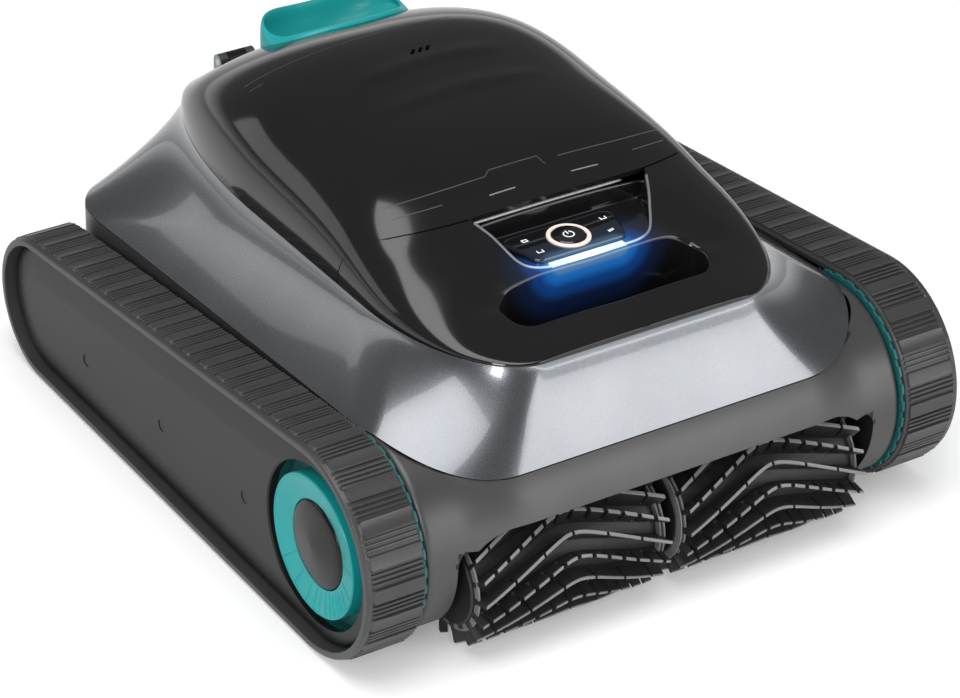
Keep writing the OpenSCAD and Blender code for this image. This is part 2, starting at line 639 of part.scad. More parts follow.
// turned parts seen on the outside of each front wheel; the profile is [radius, x]
module turned(c) translate([0, c[0], c[1]]) rotate([0, 90, 0]) rotate_extrude($fn = 96) children();
module hub_ring() color([0.15, 0.72, 0.72]) difference() {
    turned(front_c) polygon([
        [27.5, belt_in + 20], [44, belt_in + 20], [44, half_w - 4.6],
        [42.5, half_w - 4], [29, half_w - 7.5], [27.5, half_w - 7.5]]);
    for (a = [0 : 15 : 345]) translate([0, front_y, front_r]) rotate([a, 0, 0])
        translate([half_w - 6.2, 30, -0.4]) rotate([0, 0, -14]) cube([6, 16, 0.8]);
}
module hub_ring_left() side(true) hub_ring();
module hub_ring_right() hub_ring();
module hub_cap() color([0.1, 0.1, 0.11]) turned(front_c) polygon(concat(
    [[0, belt_in + 29], [11.5, belt_in + 29], [11.5, belt_in + 20], [27.2, belt_in + 20], [27.2, half_w - 8]],
    [for (a = [0 : 10 : 90]) [26 * cos(a), half_w - 8 + 5 * sin(a)]]));
module hub_cap_left() side(true) hub_cap();
module hub_cap_right() hub_cap();

idler_r = rear_r - belt_t - clear;
module idler_wheel() color([0.12, 0.62, 0.62]) {
    sleeve(rear_c, idler_r, idler_r - 5, belt_in + 0.7, belt_in + 27);
    sleeve(rear_c, idler_r - 4.5, axle_r + fit, belt_in + 12, belt_in + 15);
    sleeve(rear_c, 11, axle_r + fit, belt_in + 2, belt_in + 26);
}
module idler_wheel_left() side(true) idler_wheel();
module idler_wheel_right() idler_wheel();
module idler_axles() color("silver") both() {
    rod(rear_c, axle_r, side_x + 0.2, half_w - 9.6);
    rod(rear_c, 10, side_x - 8, side_x + 0.2);
    rod(rear_c, 14, side_x + 0.2, side_x + 3);
}

// [y, z] on the belt line at path length s, o inside the tread tips
function on_arc(c, r, a) = [c[0] + r * cos(a), c[1] + r * sin(a)];
function belt_at(s, o) =
    s < front_arc ? on_arc(front_c, front_r - o, 90 - slope + s / front_r * degrees_per_radian)
    : s < front_arc + run ? [front_y + s - front_arc, o]
    : s < front_arc + run + rear_arc
        ? on_arc(rear_c, rear_r - o, (s - front_arc - run) / rear_r * degrees_per_radian - 90)
    : on_arc(rear_c, rear_r - o, 90 - slope) + (s - front_arc - run - rear_arc) * [-cos(slope), sin(slope)];
function belt_line(o) = [for (s = [0 : belt_loop / 180 : belt_loop - 0.1]) belt_at(s, o)];
tread = belt_loop / treads;
module belt() color([0.2, 0.2, 0.21]) across(belt_in, half_w) difference() {
    profile = [[0, tread_h], [0.07, 0], [0.28, 0], [0.5, 0], [0.57, tread_h], [0.8, tread_h]];
    polygon([for (i = [0 : treads - 1], q = profile)
        belt_at((i + q[0]) * tread, q[1])]);
    polygon(belt_line(belt_t));
}
module belt_left() side(true) belt();
module belt_right() belt();

// beam between the wheels that carries the idler axle's strain and the side cover
frame_front = front_y + 70;
frame_rear = rear_y - 52;
module frame_outline(t) polygon([
    [frame_front + t, 14 + t], [frame_rear - t, 14 + t],
    [frame_rear - t, 74 - t], [frame_front + t, 98 - t]]);
module track_frame() color([0.17, 0.17, 0.18]) {
    across(side_x + 0.2, side_x + 3) frame_outline(0);
    across(side_x + 3, half_w - 9.6) {
        difference() {
            frame_outline(0);
            frame_outline(3);
        }
        for (k = [1 : 3]) translate([mix(frame_front, frame_rear, k / 4), 16]) square([3, 66]);
    }
}
module track_frame_left() side(true) track_frame();
module track_frame_right() track_frame();

cover_gap = belt_t + 0.6;
module side_cover() color([0.16, 0.16, 0.17]) {
    across(half_w - 9.5, half_w - 6.5) difference() {
        polygon(belt_line(cover_gap));
        translate(front_c) circle(52, $fn = 96);
        cover_screw_places() circle(2.1, $fn = 32);
    }
    across(half_w - 6.5, half_w - 4.5) difference() {
        polygon(belt_line(cover_gap + 9));
        translate(front_c) circle(52, $fn = 96);
        cover_screw_places() circle(4.4, $fn = 32);
    }
}
module side_cover_left() side(true) side_cover();
module side_cover_right() side_cover();
frame_mid = (frame_front + frame_rear) / 2 + 1.5;
module cover_screw_places()
    for (p = [[frame_front + 8, 56], [frame_mid, 50], [frame_rear - 8, 44]]) translate(p) children();
module cover_screws() color("silver") both() {
    across(half_w - 6.5, half_w - 4.9) cover_screw_places() circle(4, $fn = 32);
    across(half_w - 9.5, half_w - 6.5) cover_screw_places() circle(2, $fn = 32);
}

// ---- brush --------------------------------------------------------------------------------

drum_wall = 3;
module brush_core() color([0.16, 0.16, 0.17]) {
    sleeve(brush_c, drum_r, drum_r - drum_wall, 5, brush_end);
    for (x = [5, brush_end - drum_wall]) rod(brush_c, drum_r, x, x + drum_wall);
    rod(brush_c, 8, 5, brush_end);
    rod(brush_c, 4, 1, 5);
    rod(brush_c, 5, brush_end, tunnel_end + 3);
    across(tunnel_end + 3, tunnel_end + 8.5) translate(brush_c)
        gear(brush_teeth, brush_module, brush_way + 180 + 180 / brush_teeth);
}
module brush_core_left() side(true) brush_core();
module brush_core_right() brush_core();

// how far round the brush a blade is at x: it climbs to the middle of its half and falls again
sweep = 37;
crest = 0.13;                           // roundness of the bend in the middle
function sweep_angle(x) =
    let(w = 2 * (x - 5) / (brush_end - 5) - 1)
    sweep * (norm([w, crest]) - norm([1, crest])) / (norm([1, crest]) - crest);
module brush_blade(a) skin([for (k = [0 : 14])
    let(x = mix(6, brush_end - 1, k / 14), c = a + sweep_angle(x))
    [for (q = [[drum_r - 1, -1.1], [brush_r, -0.9], [brush_r, 0.9], [drum_r - 1, 1.1]])
        [x, brush_c[0] + q[0] * cos(c) - q[1] * sin(c), brush_c[1] + q[0] * sin(c) + q[1] * cos(c)]]]);
module brush_blades() color([0.13, 0.13, 0.14]) one_skin() difference() {
    union() for (i = [0 : blades - 1]) brush_blade(i * 360 / blades);
    rod(brush_c, drum_r / cos(2.5), 0, side_x, 72);
}
module brush_blades_left() side(true) brush_blades();
module brush_blades_right() brush_blades();
module brush_hanger() color([0.6, 0.6, 0.62]) difference() {
    union() {
        rod(brush_c, 9, -4, 4);
        across(-4, 4) translate(brush_c) intersection() {
            translate([-4, 0]) square([8, tunnel_r]);
            circle(tunnel_r - 0.06, $fn = 96);
        }
    }
    rod(brush_c, 4 + fit, -5, 5);
}

// ---- charging port at the back ------------------------------------------------------------

// places a turned piece along +Y, its face at depth 0 on the back of the machine
module port_place(y) translate([port_x, port_face + y, port_z]) rotate([90, 0, 0]) children();
module charging_port() color([0.2, 0.2, 0.21]) {
    port_place(1) difference() {
        union() {
            cylinder(r = 10.8, h = 17, $fn = 72);
            translate([-12, -12, 0]) cube([24, 30, 1]);
        }
        translate([0, 0, -1]) cylinder(r = 8, h = 13, $fn = 72);
    }
    for (a = [90, 210, 330])
        port_place(-11.2) rotate([0, 0, a]) translate([4, 0, 0]) cylinder(r = 1, h = 8, $fn = 32);
    for (x = [-7, 4.4]) across(port_x + x, port_x + x + 2.6) {
        translate([port_face + 0.5, cap_c[1] - 1.7]) square([2.6, 3.4]);
        translate(cap_c) circle(1.7, $fn = 48);
    }
    rod(cap_c, 0.9 - fit, port_x - 5, port_x + 5, 48);
}
module port_cap() color([0.15, 0.7, 0.7]) {
    port_place(3.9) cylinder(r = 11.5, h = 2.6, $fn = 72);
    port_place(1.3) difference() {
        cylinder(r = 10, h = 0.2, $fn = 72);
        translate([0, 0, -1]) cylinder(r = 8.8, h = 3, $fn = 72);
    }
    across(port_x - 4, port_x + 4) difference() {
        union() {
            translate(cap_c) circle(1.7, $fn = 48);
            translate([port_face + 1.3, cap_c[1] - 6]) square([2.2, 6]);
        }
        translate(cap_c) circle(0.9, $fn = 48);
    }
}

upper_shell();
lower_body();
console();
control_panel();
light_bar();
button_ring();
power_button();
control_board();
lid();
lid_seal();
lid_catch();
outlet_cowl();
outlet_grille();
hinge_brackets();
hinge_pins();
outlet_duct();
pump_motor();
pump_shaft();
propeller();
basket_frame();
basket_mesh();
basket_handle();
intake_frame();
flap_pin();
intake_flap_left();
intake_flap_right();
battery_pack();
drive_motor_left();
drive_motor_right();
motor_pinion_left();
motor_pinion_right();
drive_bearings();
drive_axle_left();
drive_axle_right();
brush_drive_gear_left();
brush_drive_gear_right();
drive_sprocket_left();
drive_sprocket_right();
hub_ring_left();
hub_ring_right();
hub_cap_left();
hub_cap_right();
idler_wheel_left();
idler_wheel_right();
idler_axles();
belt_left();
belt_right();
track_frame_left();
track_frame_right();
side_cover_left();
side_cover_right();
brush_core_left();
brush_core_right();
brush_blades_left();
brush_blades_right();
brush_hanger();
charging_port();
port_cap();
cover_screws();
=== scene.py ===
from math import atan2, cos, hypot, pi, radians, sin, sqrt

import bmesh
import bpy
from mathutils import Matrix, Vector


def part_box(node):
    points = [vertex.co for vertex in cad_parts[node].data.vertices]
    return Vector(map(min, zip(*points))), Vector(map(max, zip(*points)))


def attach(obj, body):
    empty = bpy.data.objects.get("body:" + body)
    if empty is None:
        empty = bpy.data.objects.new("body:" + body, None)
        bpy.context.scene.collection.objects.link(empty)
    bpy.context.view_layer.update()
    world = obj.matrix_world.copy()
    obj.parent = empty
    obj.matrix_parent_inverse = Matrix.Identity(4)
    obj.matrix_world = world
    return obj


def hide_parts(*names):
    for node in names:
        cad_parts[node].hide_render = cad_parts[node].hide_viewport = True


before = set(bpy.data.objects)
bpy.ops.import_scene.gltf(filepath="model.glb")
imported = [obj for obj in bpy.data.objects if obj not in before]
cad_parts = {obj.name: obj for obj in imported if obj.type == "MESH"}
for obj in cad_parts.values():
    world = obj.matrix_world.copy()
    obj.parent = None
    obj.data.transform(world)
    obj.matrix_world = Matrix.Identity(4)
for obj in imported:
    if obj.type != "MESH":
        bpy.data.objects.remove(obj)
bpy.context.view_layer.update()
print("frame loaded")

mm = 0.001


# places in millimetres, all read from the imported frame

def low(node):
    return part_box(node)[0] / mm


def high(node):
    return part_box(node)[1] / mm


def middle(node):
    return (low(node) + high(node)) / 2


halfWidth = high("belt_right").x
beltInner = low("belt_right").x
bodySide = high("lower_body").x
bellyZ = low("lower_body").z
frontY, frontR = middle("hub_cap_right").y, middle("hub_cap_right").z
rearY, rearR = middle("idler_wheel_right").y, middle("idler_wheel_right").z
seamZ = low("lid").z
roofFront, roofRear = low("console").y, high("lid_seal").y + 2.8        # the lid laps its seal
roofMid = (roofFront + roofRear) / 2
roofW = high("lid").x
skirtFront, skirtRear = low("upper_shell").y, high("upper_shell").y
lidEdge = frontY + 76                   # where the lid ends and the console starts
panelZ, panelY = high("control_panel").z, middle("control_panel").y
gripY, gripW, gripR = frontY + 14, 70, 15.5     # middle, half width and end radius of the grip
gripFloor = seamZ - 24
brushY, brushZ = middle("brush_core_right").y, middle("brush_core_right").z
brushR = middle("brush_blades_right").y - low("brush_blades_right").y
outletY = middle("outlet_grille").y
bothSides = ((-1, "Left"), (1, "Right"))


# helpers for numbers, meshes and pieces

def mix(a, b, t):
    return a + (b - a) * t


def clamp(t):
    return min(1, max(0, t))


def smooth(t):
    t = clamp(t)
    return t * t * (3 - 2 * t)


def quarter(t):
    return sqrt(max(0, 1 - t * t))


def asinOf(t):
    return atan2(t, sqrt(max(0, 1 - t * t)))


def ringIndex(u, count):
    # which of count places round a closed ring stands at u
    return round(u * count) % count


def ringAt(ring, u):
    return ring[ringIndex(u, len(ring))]


def rowAt(row, u):
    return row[round(u * (len(row) - 1))]


def pick(look, *keys):
    return [look[key] for key in keys]


def normalTo(a, b):
    # unit direction to the right of the way from a to b
    away = hypot(b[0] - a[0], b[1] - a[1])
    return (b[1] - a[1]) / away, (a[0] - b[0]) / away


def addSheet(bm, across, along, where):
    # adds a grid whose corner at u, v goes to where(u, v); sides that lie on each other are merged
    made = bmesh.ops.create_grid(bm, x_segments=across, y_segments=along, size=0.5)["verts"]
    for v in made:
        v.co = where(v.co.x + 0.5, v.co.y + 0.5)
    bmesh.ops.remove_doubles(bm, verts=made, dist=0.002)


def sheetGrid(across, along, where):
    bm = bmesh.new()
    addSheet(bm, across, along, where)
    bmesh.ops.recalc_face_normals(bm, faces=bm.faces)
    return bm


def addBox(bm, lowCorner, highCorner):
    made = bmesh.ops.create_cube(bm, size=1)["verts"]
    size = [b - a for a, b in zip(lowCorner, highCorner)]
    centre = [(a + b) / 2 for a, b in zip(lowCorner, highCorner)]
    bmesh.ops.scale(bm, vec=size, verts=made)
    bmesh.ops.translate(bm, vec=centre, verts=made)
    return made


def spinProfile(bm, profile, centre, steps=128):
    # turns a profile of (radius, x) about an X axis through centre (y, z)
    made = [bm.verts.new((x, centre[0] + r, centre[1])) for r, x in profile]
    edges = [bm.edges.new(pair) for pair in zip(made, made[1:])]
    bmesh.ops.spin(bm, geom=made + edges, cent=(0, *centre), axis=(1, 0, 0), angle=2 * pi,
                   steps=steps, use_merge=True)
    bmesh.ops.remove_doubles(bm, verts=bm.verts, dist=0.002)


def mirrorToLeft(bm):
    bmesh.ops.scale(bm, vec=(-1, 1, 1), verts=bm.verts)
    bmesh.ops.reverse_faces(bm, faces=bm.faces)


def closeEnds(bm):
    bmesh.ops.holes_fill(bm, edges=[edge for edge in bm.edges if edge.is_boundary], sides=0)


def faceUp(bm, furthest=max):
    # turns an open sheet so that its highest face, or with min its lowest, looks up
    chosen = furthest(bm.faces, key=lambda face: face.calc_center_median().z)
    if chosen.normal.z < 0:
        bmesh.ops.reverse_faces(bm, faces=bm.faces)


def toMesh(name, bm):
    mesh = bpy.data.meshes.new(name)
    bm.to_mesh(mesh)
    bm.free()
    return mesh


def newObject(name, data):
    made = bpy.data.objects.new(name, data)
    bpy.context.scene.collection.objects.link(made)
    return made


def smoothUpTo(mesh, crease):
    mesh.shade_smooth()
    mesh.set_sharp_from_angle(angle=radians(crease))


def asPiece(name, bm, materials, body, replaces=(), crease=40, outwards=True):
    # makes the object from a mesh in millimetres and hands it to its body
    if outwards:
        bmesh.ops.recalc_face_normals(bm, faces=bm.faces)
    bmesh.ops.scale(bm, vec=(mm, mm, mm), verts=bm.verts)
    mesh = toMesh(name, bm)
    for material in materials:
        mesh.materials.append(material)
    smoothUpTo(mesh, crease)
    piece = newObject(name, mesh)
    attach(piece, body)
    if replaces:
        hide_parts(*replaces)
    return piece


def bakeModifiers(piece, crease=40):
    # applies what stands on the piece so that later steps see its real mesh
    graph = bpy.context.evaluated_depsgraph_get()
    solid = bpy.data.meshes.new_from_object(piece.evaluated_get(graph))
    piece.modifiers.clear()
    old = piece.data
    piece.data = solid
    bpy.data.meshes.remove(old)
    smoothUpTo(solid, crease)


def cutAway(piece, cutter, crease=40):
    bmesh.ops.recalc_face_normals(cutter, faces=cutter.faces)
    bmesh.ops.scale(cutter, vec=(mm, mm, mm), verts=cutter.verts)
    mesh = toMesh("cutter", cutter)
    tool = newObject("cutter", mesh)
    cut = piece.modifiers.new("cut", "BOOLEAN")
    cut.object = tool
    cut.operation = "DIFFERENCE"
    cut.solver = "EXACT"
    bakeModifiers(piece, crease)
    bpy.data.objects.remove(tool)
    bpy.data.meshes.remove(mesh)


def addSolidify(piece, thickness):
    wall = piece.modifiers.new("wall", "SOLIDIFY")
    wall.thickness = thickness * mm
    wall.offset = -1
    wall.thickness_clamp = 1


def addBevel(piece, width, angle=40):
    edge = piece.modifiers.new("edge", "BEVEL")
    edge.width = width * mm
    edge.segments = 2
    edge.limit_method = "ANGLE"
    edge.angle_limit = radians(angle)
    edge.harden_normals = False


# materials

def newMaterial(name):
    material = bpy.data.materials.new(name)
    material.use_nodes = True
    tree = material.node_tree
    return material, tree, tree.nodes["Principled BSDF"]


def setSockets(node, values):
    for socket, value in values.items():
        node.inputs[socket].default_value = value


def mathNode(tree, operation, first, second):
    made = tree.nodes.new("ShaderNodeMath")
    made.operation = operation
    tree.links.new(first, made.inputs[0])
    tree.links.new(second, made.inputs[1])
    return made.outputs[0]


def noiseOn(tree, scale, detail=3.0, stretch=(1, 1, 1)):
    # noise over the object, in cells of about 1/scale metres
    place = tree.nodes.new("ShaderNodeTexCoord")
    turn = tree.nodes.new("ShaderNodeMapping")
    setSockets(turn, {"Scale": stretch})
    noise = tree.nodes.new("ShaderNodeTexNoise")
    setSockets(noise, {"Scale": scale, "Detail": detail})
    tree.links.new(place.outputs["Object"], turn.inputs["Vector"])
    tree.links.new(turn.outputs["Vector"], noise.inputs["Vector"])
    return noise.outputs["Fac"]


def spread(tree, source, fromLow, fromHigh, toLow, toHigh):
    ramp = tree.nodes.new("ShaderNodeMapRange")
    setSockets(ramp, {"From Min": fromLow, "From Max": fromHigh, "To Min": toLow, "To Max": toHigh})
    tree.links.new(source, ramp.inputs["Value"])
    return ramp.outputs["Result"]


def blendColours(tree, factor, first, second):
    blend = tree.nodes.new("ShaderNodeMix")
    blend.data_type = "RGBA"            # its colours are sockets 6 and 7, its result is output 2
    setSockets(blend, {6: (*first, 1), 7: (*second, 1)})
    tree.links.new(factor, blend.inputs[0])
    return blend.outputs[2]


def mouldedFinish(name, look):
    # two close colours in soft clouds, a fine grain in roughness and height
    material, tree, shader = newMaterial(name)
    clouds = noiseOn(tree, look.get("clouds", 18))
    grain = noiseOn(tree, look.get("grain", 1400), 2, look.get("stretch", (1, 1, 1)))
    colour = blendColours(tree, spread(tree, clouds, 0.35, 0.65, 0, 1), look["colour"], look["shade"])
    tree.links.new(colour, shader.inputs["Base Color"])
    roughLow, roughHigh = look["rough"]
    tree.links.new(spread(tree, grain, 0.3, 0.7, roughLow, roughHigh), shader.inputs["Roughness"])
    bump = tree.nodes.new("ShaderNodeBump")
    setSockets(bump, {"Strength": look.get("bump", 0.15), "Distance": look.get("depth", 0.05) * mm})
    tree.links.new(grain, bump.inputs["Height"])
    tree.links.new(bump.outputs["Normal"], shader.inputs["Normal"])
    setSockets(shader, look.get("shader", {}))
    return material


# colours, roughness from and to, cells a metre of clouds and grain, height of the grain in millimetres
finishLooks = {
    "shellMetal": {"colour": (0.20, 0.21, 0.225), "shade": (0.175, 0.185, 0.2), "rough": (0.24, 0.30),
                   "grain": 2600, "bump": 0.05, "depth": 0.02,
                   "shader": {"Metallic": 0.9, "Coat Weight": 1.0, "Coat Roughness": 0.06}},
    "bumperMetal": {"colour": (0.095, 0.095, 0.097), "shade": (0.086, 0.086, 0.088), "rough": (0.36, 0.42),
                    "grain": 2600, "bump": 0.06, "depth": 0.02, "shader": {"Metallic": 0.6}},
    "roofGloss": {"colour": (0.0085, 0.0085, 0.0095), "shade": (0.007, 0.007, 0.008), "rough": (0.10, 0.14),
                  "clouds": 9, "bump": 0.03, "depth": 0.01,
                  "shader": {"Coat Weight": 0.3, "Coat Roughness": 0.05}},
    "tunnelShade": {"colour": (0.008, 0.008, 0.008), "shade": (0.006, 0.006, 0.006), "rough": (0.6, 0.7)},
    "panelGlass": {"colour": (0.006, 0.007, 0.009), "shade": (0.005, 0.006, 0.008), "rough": (0.05, 0.09),
                   "bump": 0.02, "depth": 0.01, "shader": {"Coat Weight": 0.5, "Coat Roughness": 0.03}},
    "coverMatte": {"colour": (0.010, 0.0103, 0.011), "shade": (0.0085, 0.0088, 0.0095), "rough": (0.34, 0.42),
                   "grain": 2200, "bump": 0.15, "depth": 0.03, "shader": {"Specular IOR Level": 0.35}},
    "beltRubber": {"colour": (0.050, 0.050, 0.051), "shade": (0.040, 0.040, 0.041), "rough": (0.28, 0.38),
                   "grain": 900, "bump": 0.2, "depth": 0.04},
    "brushRubber": {"colour": (0.022, 0.022, 0.023), "shade": (0.017, 0.017, 0.018), "rough": (0.42, 0.55),
                    "grain": 800, "bump": 0.3, "depth": 0.06},
    "brushTips": {"colour": (0.24, 0.24, 0.24), "shade": (0.18, 0.18, 0.18), "rough": (0.45, 0.6),
                  "grain": 500, "bump": 0.3, "depth": 0.06},
    "teal": {"colour": (0.012, 0.36, 0.36), "shade": (0.010, 0.31, 0.315), "rough": (0.28, 0.36),
             "bump": 0.08, "shader": {"Specular IOR Level": 0.35}},
    "capGloss": {"colour": (0.010, 0.010, 0.0105), "shade": (0.007, 0.007, 0.0075), "rough": (0.16, 0.22),
                 "bump": 0.03, "depth": 0.01, "shader": {"Specular IOR Level": 0.3}},
    "blackPlastic": {"colour": (0.018, 0.018, 0.019), "shade": (0.014, 0.014, 0.015), "rough": (0.42, 0.52),
                     "grain": 1800, "bump": 0.2},
    "greyPlastic": {"colour": (0.16, 0.16, 0.168), "shade": (0.135, 0.135, 0.142), "rough": (0.42, 0.52),
                    "grain": 1800, "bump": 0.2},
    "turnedSteel": {"colour": (0.56, 0.56, 0.57), "shade": (0.47, 0.47, 0.48), "rough": (0.2, 0.34),
                    "grain": 700, "stretch": (6, 1, 1), "shader": {"Metallic": 1.0}},
    "bronze": {"colour": (0.42, 0.27, 0.10), "shade": (0.34, 0.21, 0.08), "rough": (0.38, 0.5),
               "grain": 1500, "shader": {"Metallic": 1.0}},
    "motorCan": {"colour": (0.5, 0.51, 0.53), "shade": (0.42, 0.43, 0.45), "rough": (0.26, 0.38),
                 "grain": 600, "stretch": (8, 1, 1), "shader": {"Metallic": 1.0}},
    # the ring also gives off a faint painted glow of its own colour
    "roseMetalGlow": {"colour": (0.95, 0.80, 0.74), "shade": (0.90, 0.74, 0.68), "rough": (0.3, 0.38),
                  "shader": {"Metallic": 0.1, "Emission Color": (1, 0.8, 0.72, 1),
                             "Emission Strength": 0.18}},
    "tealDeep": {"colour": (0.015, 0.13, 0.13), "shade": (0.012, 0.11, 0.11), "rough": (0.4, 0.5),
                 "bump": 0.1},
    "boardGreen": {"colour": (0.012, 0.09, 0.045), "shade": (0.02, 0.13, 0.06), "rough": (0.3, 0.45),
                   "clouds": 160, "bump": 0.4},
    "meshWeave": {"colour": (0.42, 0.43, 0.44), "shade": (0.20, 0.205, 0.21), "rough": (0.6, 0.75),
                  "clouds": 900, "grain": 1200, "bump": 0.6, "depth": 0.2},
    "sealRubber": {"colour": (0.012, 0.012, 0.012), "shade": (0.009, 0.009, 0.009), "rough": (0.6, 0.75)},
    "gearNylon": {"colour": (0.66, 0.65, 0.60), "shade": (0.58, 0.57, 0.52), "rough": (0.38, 0.5)},
    "batteryWrap": {"colour": (0.016, 0.05, 0.15), "shade": (0.012, 0.04, 0.12), "rough": (0.25, 0.4),
                    "grain": 90, "bump": 0.3, "depth": 0.3},
    # the white marks also give off a faint painted glow
    "iconWhiteGlow": {"colour": (0.8, 0.8, 0.8), "shade": (0.7, 0.7, 0.72), "rough": (0.4, 0.5), "bump": 0.02,
                  "shader": {"Emission Color": (1, 1, 1, 1), "Emission Strength": 0.45}},
    "fineLine": {"colour": (0.10, 0.10, 0.10), "shade": (0.06, 0.06, 0.06), "rough": (0.3, 0.4),
                 "bump": 0.05},
    # pale strokes and a bead painted as highlights on the lid
    "paintedHighlight": {"colour": (0.42, 0.42, 0.42), "shade": (0.34, 0.34, 0.34), "rough": (0.2, 0.3),
                 "bump": 0.05, "shader": {"Metallic": 0.5}},
}
finish = {name: mouldedFinish(name, look) for name, look in finishLooks.items()}

# the blue light round the bar, painted as a glow on the console, the hollow's rim and the panel, and
# the bar's own light: the finish each starts from, half the length of the line it spreads from, how far
# it reaches, and its colours against the distance in millimetres
glowLooks = {
    "consolePaintedGlow": {"base": "roofGloss", "half": 21, "reach": 70, "stops": (
        (0, (0.14, 0.28, 0.45)), (5, (0.085, 0.2, 0.38)), (9, (0.006, 0.12, 0.42)),
        (17, (0.0, 0.035, 0.17)), (26, (0.0, 0.005, 0.025)), (40, (0, 0, 0)))},
    "rimGlow": {"base": "greyPlastic", "half": 21, "reach": 50, "stops": (
        (0, (0.72, 0.90, 1.0)), (12, (0.34, 0.52, 0.70)), (24, (0.05, 0.08, 0.12)), (40, (0, 0, 0)))},
    "panelGlow": {"base": "panelGlass", "half": 21, "reach": 30, "stops": (
        (0, (0.10, 0.19, 0.32)), (5, (0.04, 0.09, 0.17)), (12, (0.0, 0.006, 0.02)), (24, (0, 0, 0)))},
    "barLight": {"base": "iconWhiteGlow", "half": 0.1, "reach": 30, "stops": (
        (0, (0.62, 0.92, 1.0)), (9, (0.30, 0.74, 0.98)), (22, (0.05, 0.38, 0.70)))},
}
barY, barZ = middle("light_bar").y, high("light_bar").z


def glowAround(tree, half, reach, stops):
    # distance from the nearest point of the bar's middle line, turned into a colour
    place = tree.nodes.new("ShaderNodeTexCoord")
    split = tree.nodes.new("ShaderNodeSeparateXYZ")
    tree.links.new(place.outputs["Object"], split.inputs["Vector"])
    held = tree.nodes.new("ShaderNodeClamp")
    setSockets(held, {"Min": -half * mm, "Max": half * mm})
    tree.links.new(split.outputs["X"], held.inputs["Value"])
    nearest = tree.nodes.new("ShaderNodeCombineXYZ")
    setSockets(nearest, {"Y": barY * mm, "Z": barZ * mm})
    tree.links.new(held.outputs["Result"], nearest.inputs["X"])
    gap = tree.nodes.new("ShaderNodeVectorMath")
    gap.operation = "DISTANCE"
    tree.links.new(place.outputs["Object"], gap.inputs[0])
    tree.links.new(nearest.outputs["Vector"], gap.inputs[1])
    ramp = tree.nodes.new("ShaderNodeValToRGB")
    ramp.color_ramp.interpolation = "EASE"
    ends = ramp.color_ramp.elements
    while len(ends) < len(stops):
        ends.new(0.5)
    for end, (where, colour) in zip(ends, stops):
        end.position = where / reach
        end.color = (*colour, 1)
    tree.links.new(spread(tree, gap.outputs["Value"], 0, reach * mm, 0, 1), ramp.inputs["Fac"])
    return ramp.outputs["Color"]


def glowingFinish(name, look):
    material = mouldedFinish(name, finishLooks[look["base"]])
    tree = material.node_tree
    shader = tree.nodes["Principled BSDF"]
    # the glow is painted on as emission, strongest next to the bar
    glow = glowAround(tree, look["half"], look["reach"], look["stops"])
    tree.links.new(glow, shader.inputs["Emission Color"])
    setSockets(shader, {"Emission Strength": 1.0})
    return material


for name, look in glowLooks.items():
    finish[name] = glowingFinish(name, look)
print("finishes made:", len(finish))


# camera, light and floor

cameraLook = {"place": (-1.0877, -1.62725, 1.2577), "turn": -33.37, "tilt": 31.68, "roll": 1.58,
              "lens": 137.8, "shift": (0.0344, 0.0035)}


def makeCamera(look):
    turn, tilt, roll = (radians(angle) for angle in pick(look, "turn", "tilt", "roll"))
    back = Vector((sin(turn) * cos(tilt), -cos(turn) * cos(tilt), sin(tilt)))
    right = (-back).cross(Vector((0, 0, 1))).normalized()
    up = right.cross(-back)
    rightTurned = cos(roll) * right + sin(roll) * up
    upTurned = cos(roll) * up - sin(roll) * right
    data = bpy.data.cameras.new("camera")
    data.lens = look["lens"]
    data.shift_x, data.shift_y = look["shift"]
    data.clip_end = 30
    camera = newObject("camera", data)
    turnMatrix = Matrix((rightTurned, upTurned, back)).transposed().to_4x4()
    camera.matrix_world = Matrix.Translation(look["place"]) @ turnMatrix
    bpy.context.scene.camera = camera


# each lamp: where it hangs, what it points at, its size and its power
lampLooks = {
    "topSoft": {"place": (-0.4, -0.3, 2.0), "aim": (0, 0, 0.1), "size": (1.6, 1.6), "power": 26},
    "frontCard": {"place": (0.95, -1.72, 0.72), "aim": (0.1, -0.2, 0.12), "size": (1.15, 0.66), "power": 8},
    "lowCard": {"place": (0.7, -1.9, 0.12), "aim": (0.1, -0.2, 0.12), "size": (2.4, 0.12), "power": 4},
    "cornerCard": {"place": (-1.30, -1.22, 0.85), "aim": (-0.1, -0.2, 0.12), "size": (0.4, 0.75), "power": 9},
    "sideCard": {"place": (-1.6, 1.5, 1.0), "aim": (-0.1, 0.0, 0.15), "size": (1.6, 0.8), "power": 4},
}
worldLook = {"horizon": 0.95, "sky": 0.15, "diffuse": 0.45}


def makeLamps():
    for name, look in lampLooks.items():
        data = bpy.data.lights.new(name, "AREA")
        data.shape = "RECTANGLE"
        data.size, data.size_y = look["size"]
        data.energy = look["power"]
        lamp = newObject(name, data)
        lamp.location = look["place"]
        way = Vector(look["aim"]) - Vector(look["place"])
        lamp.rotation_euler = way.to_track_quat("-Z", "Y").to_euler()


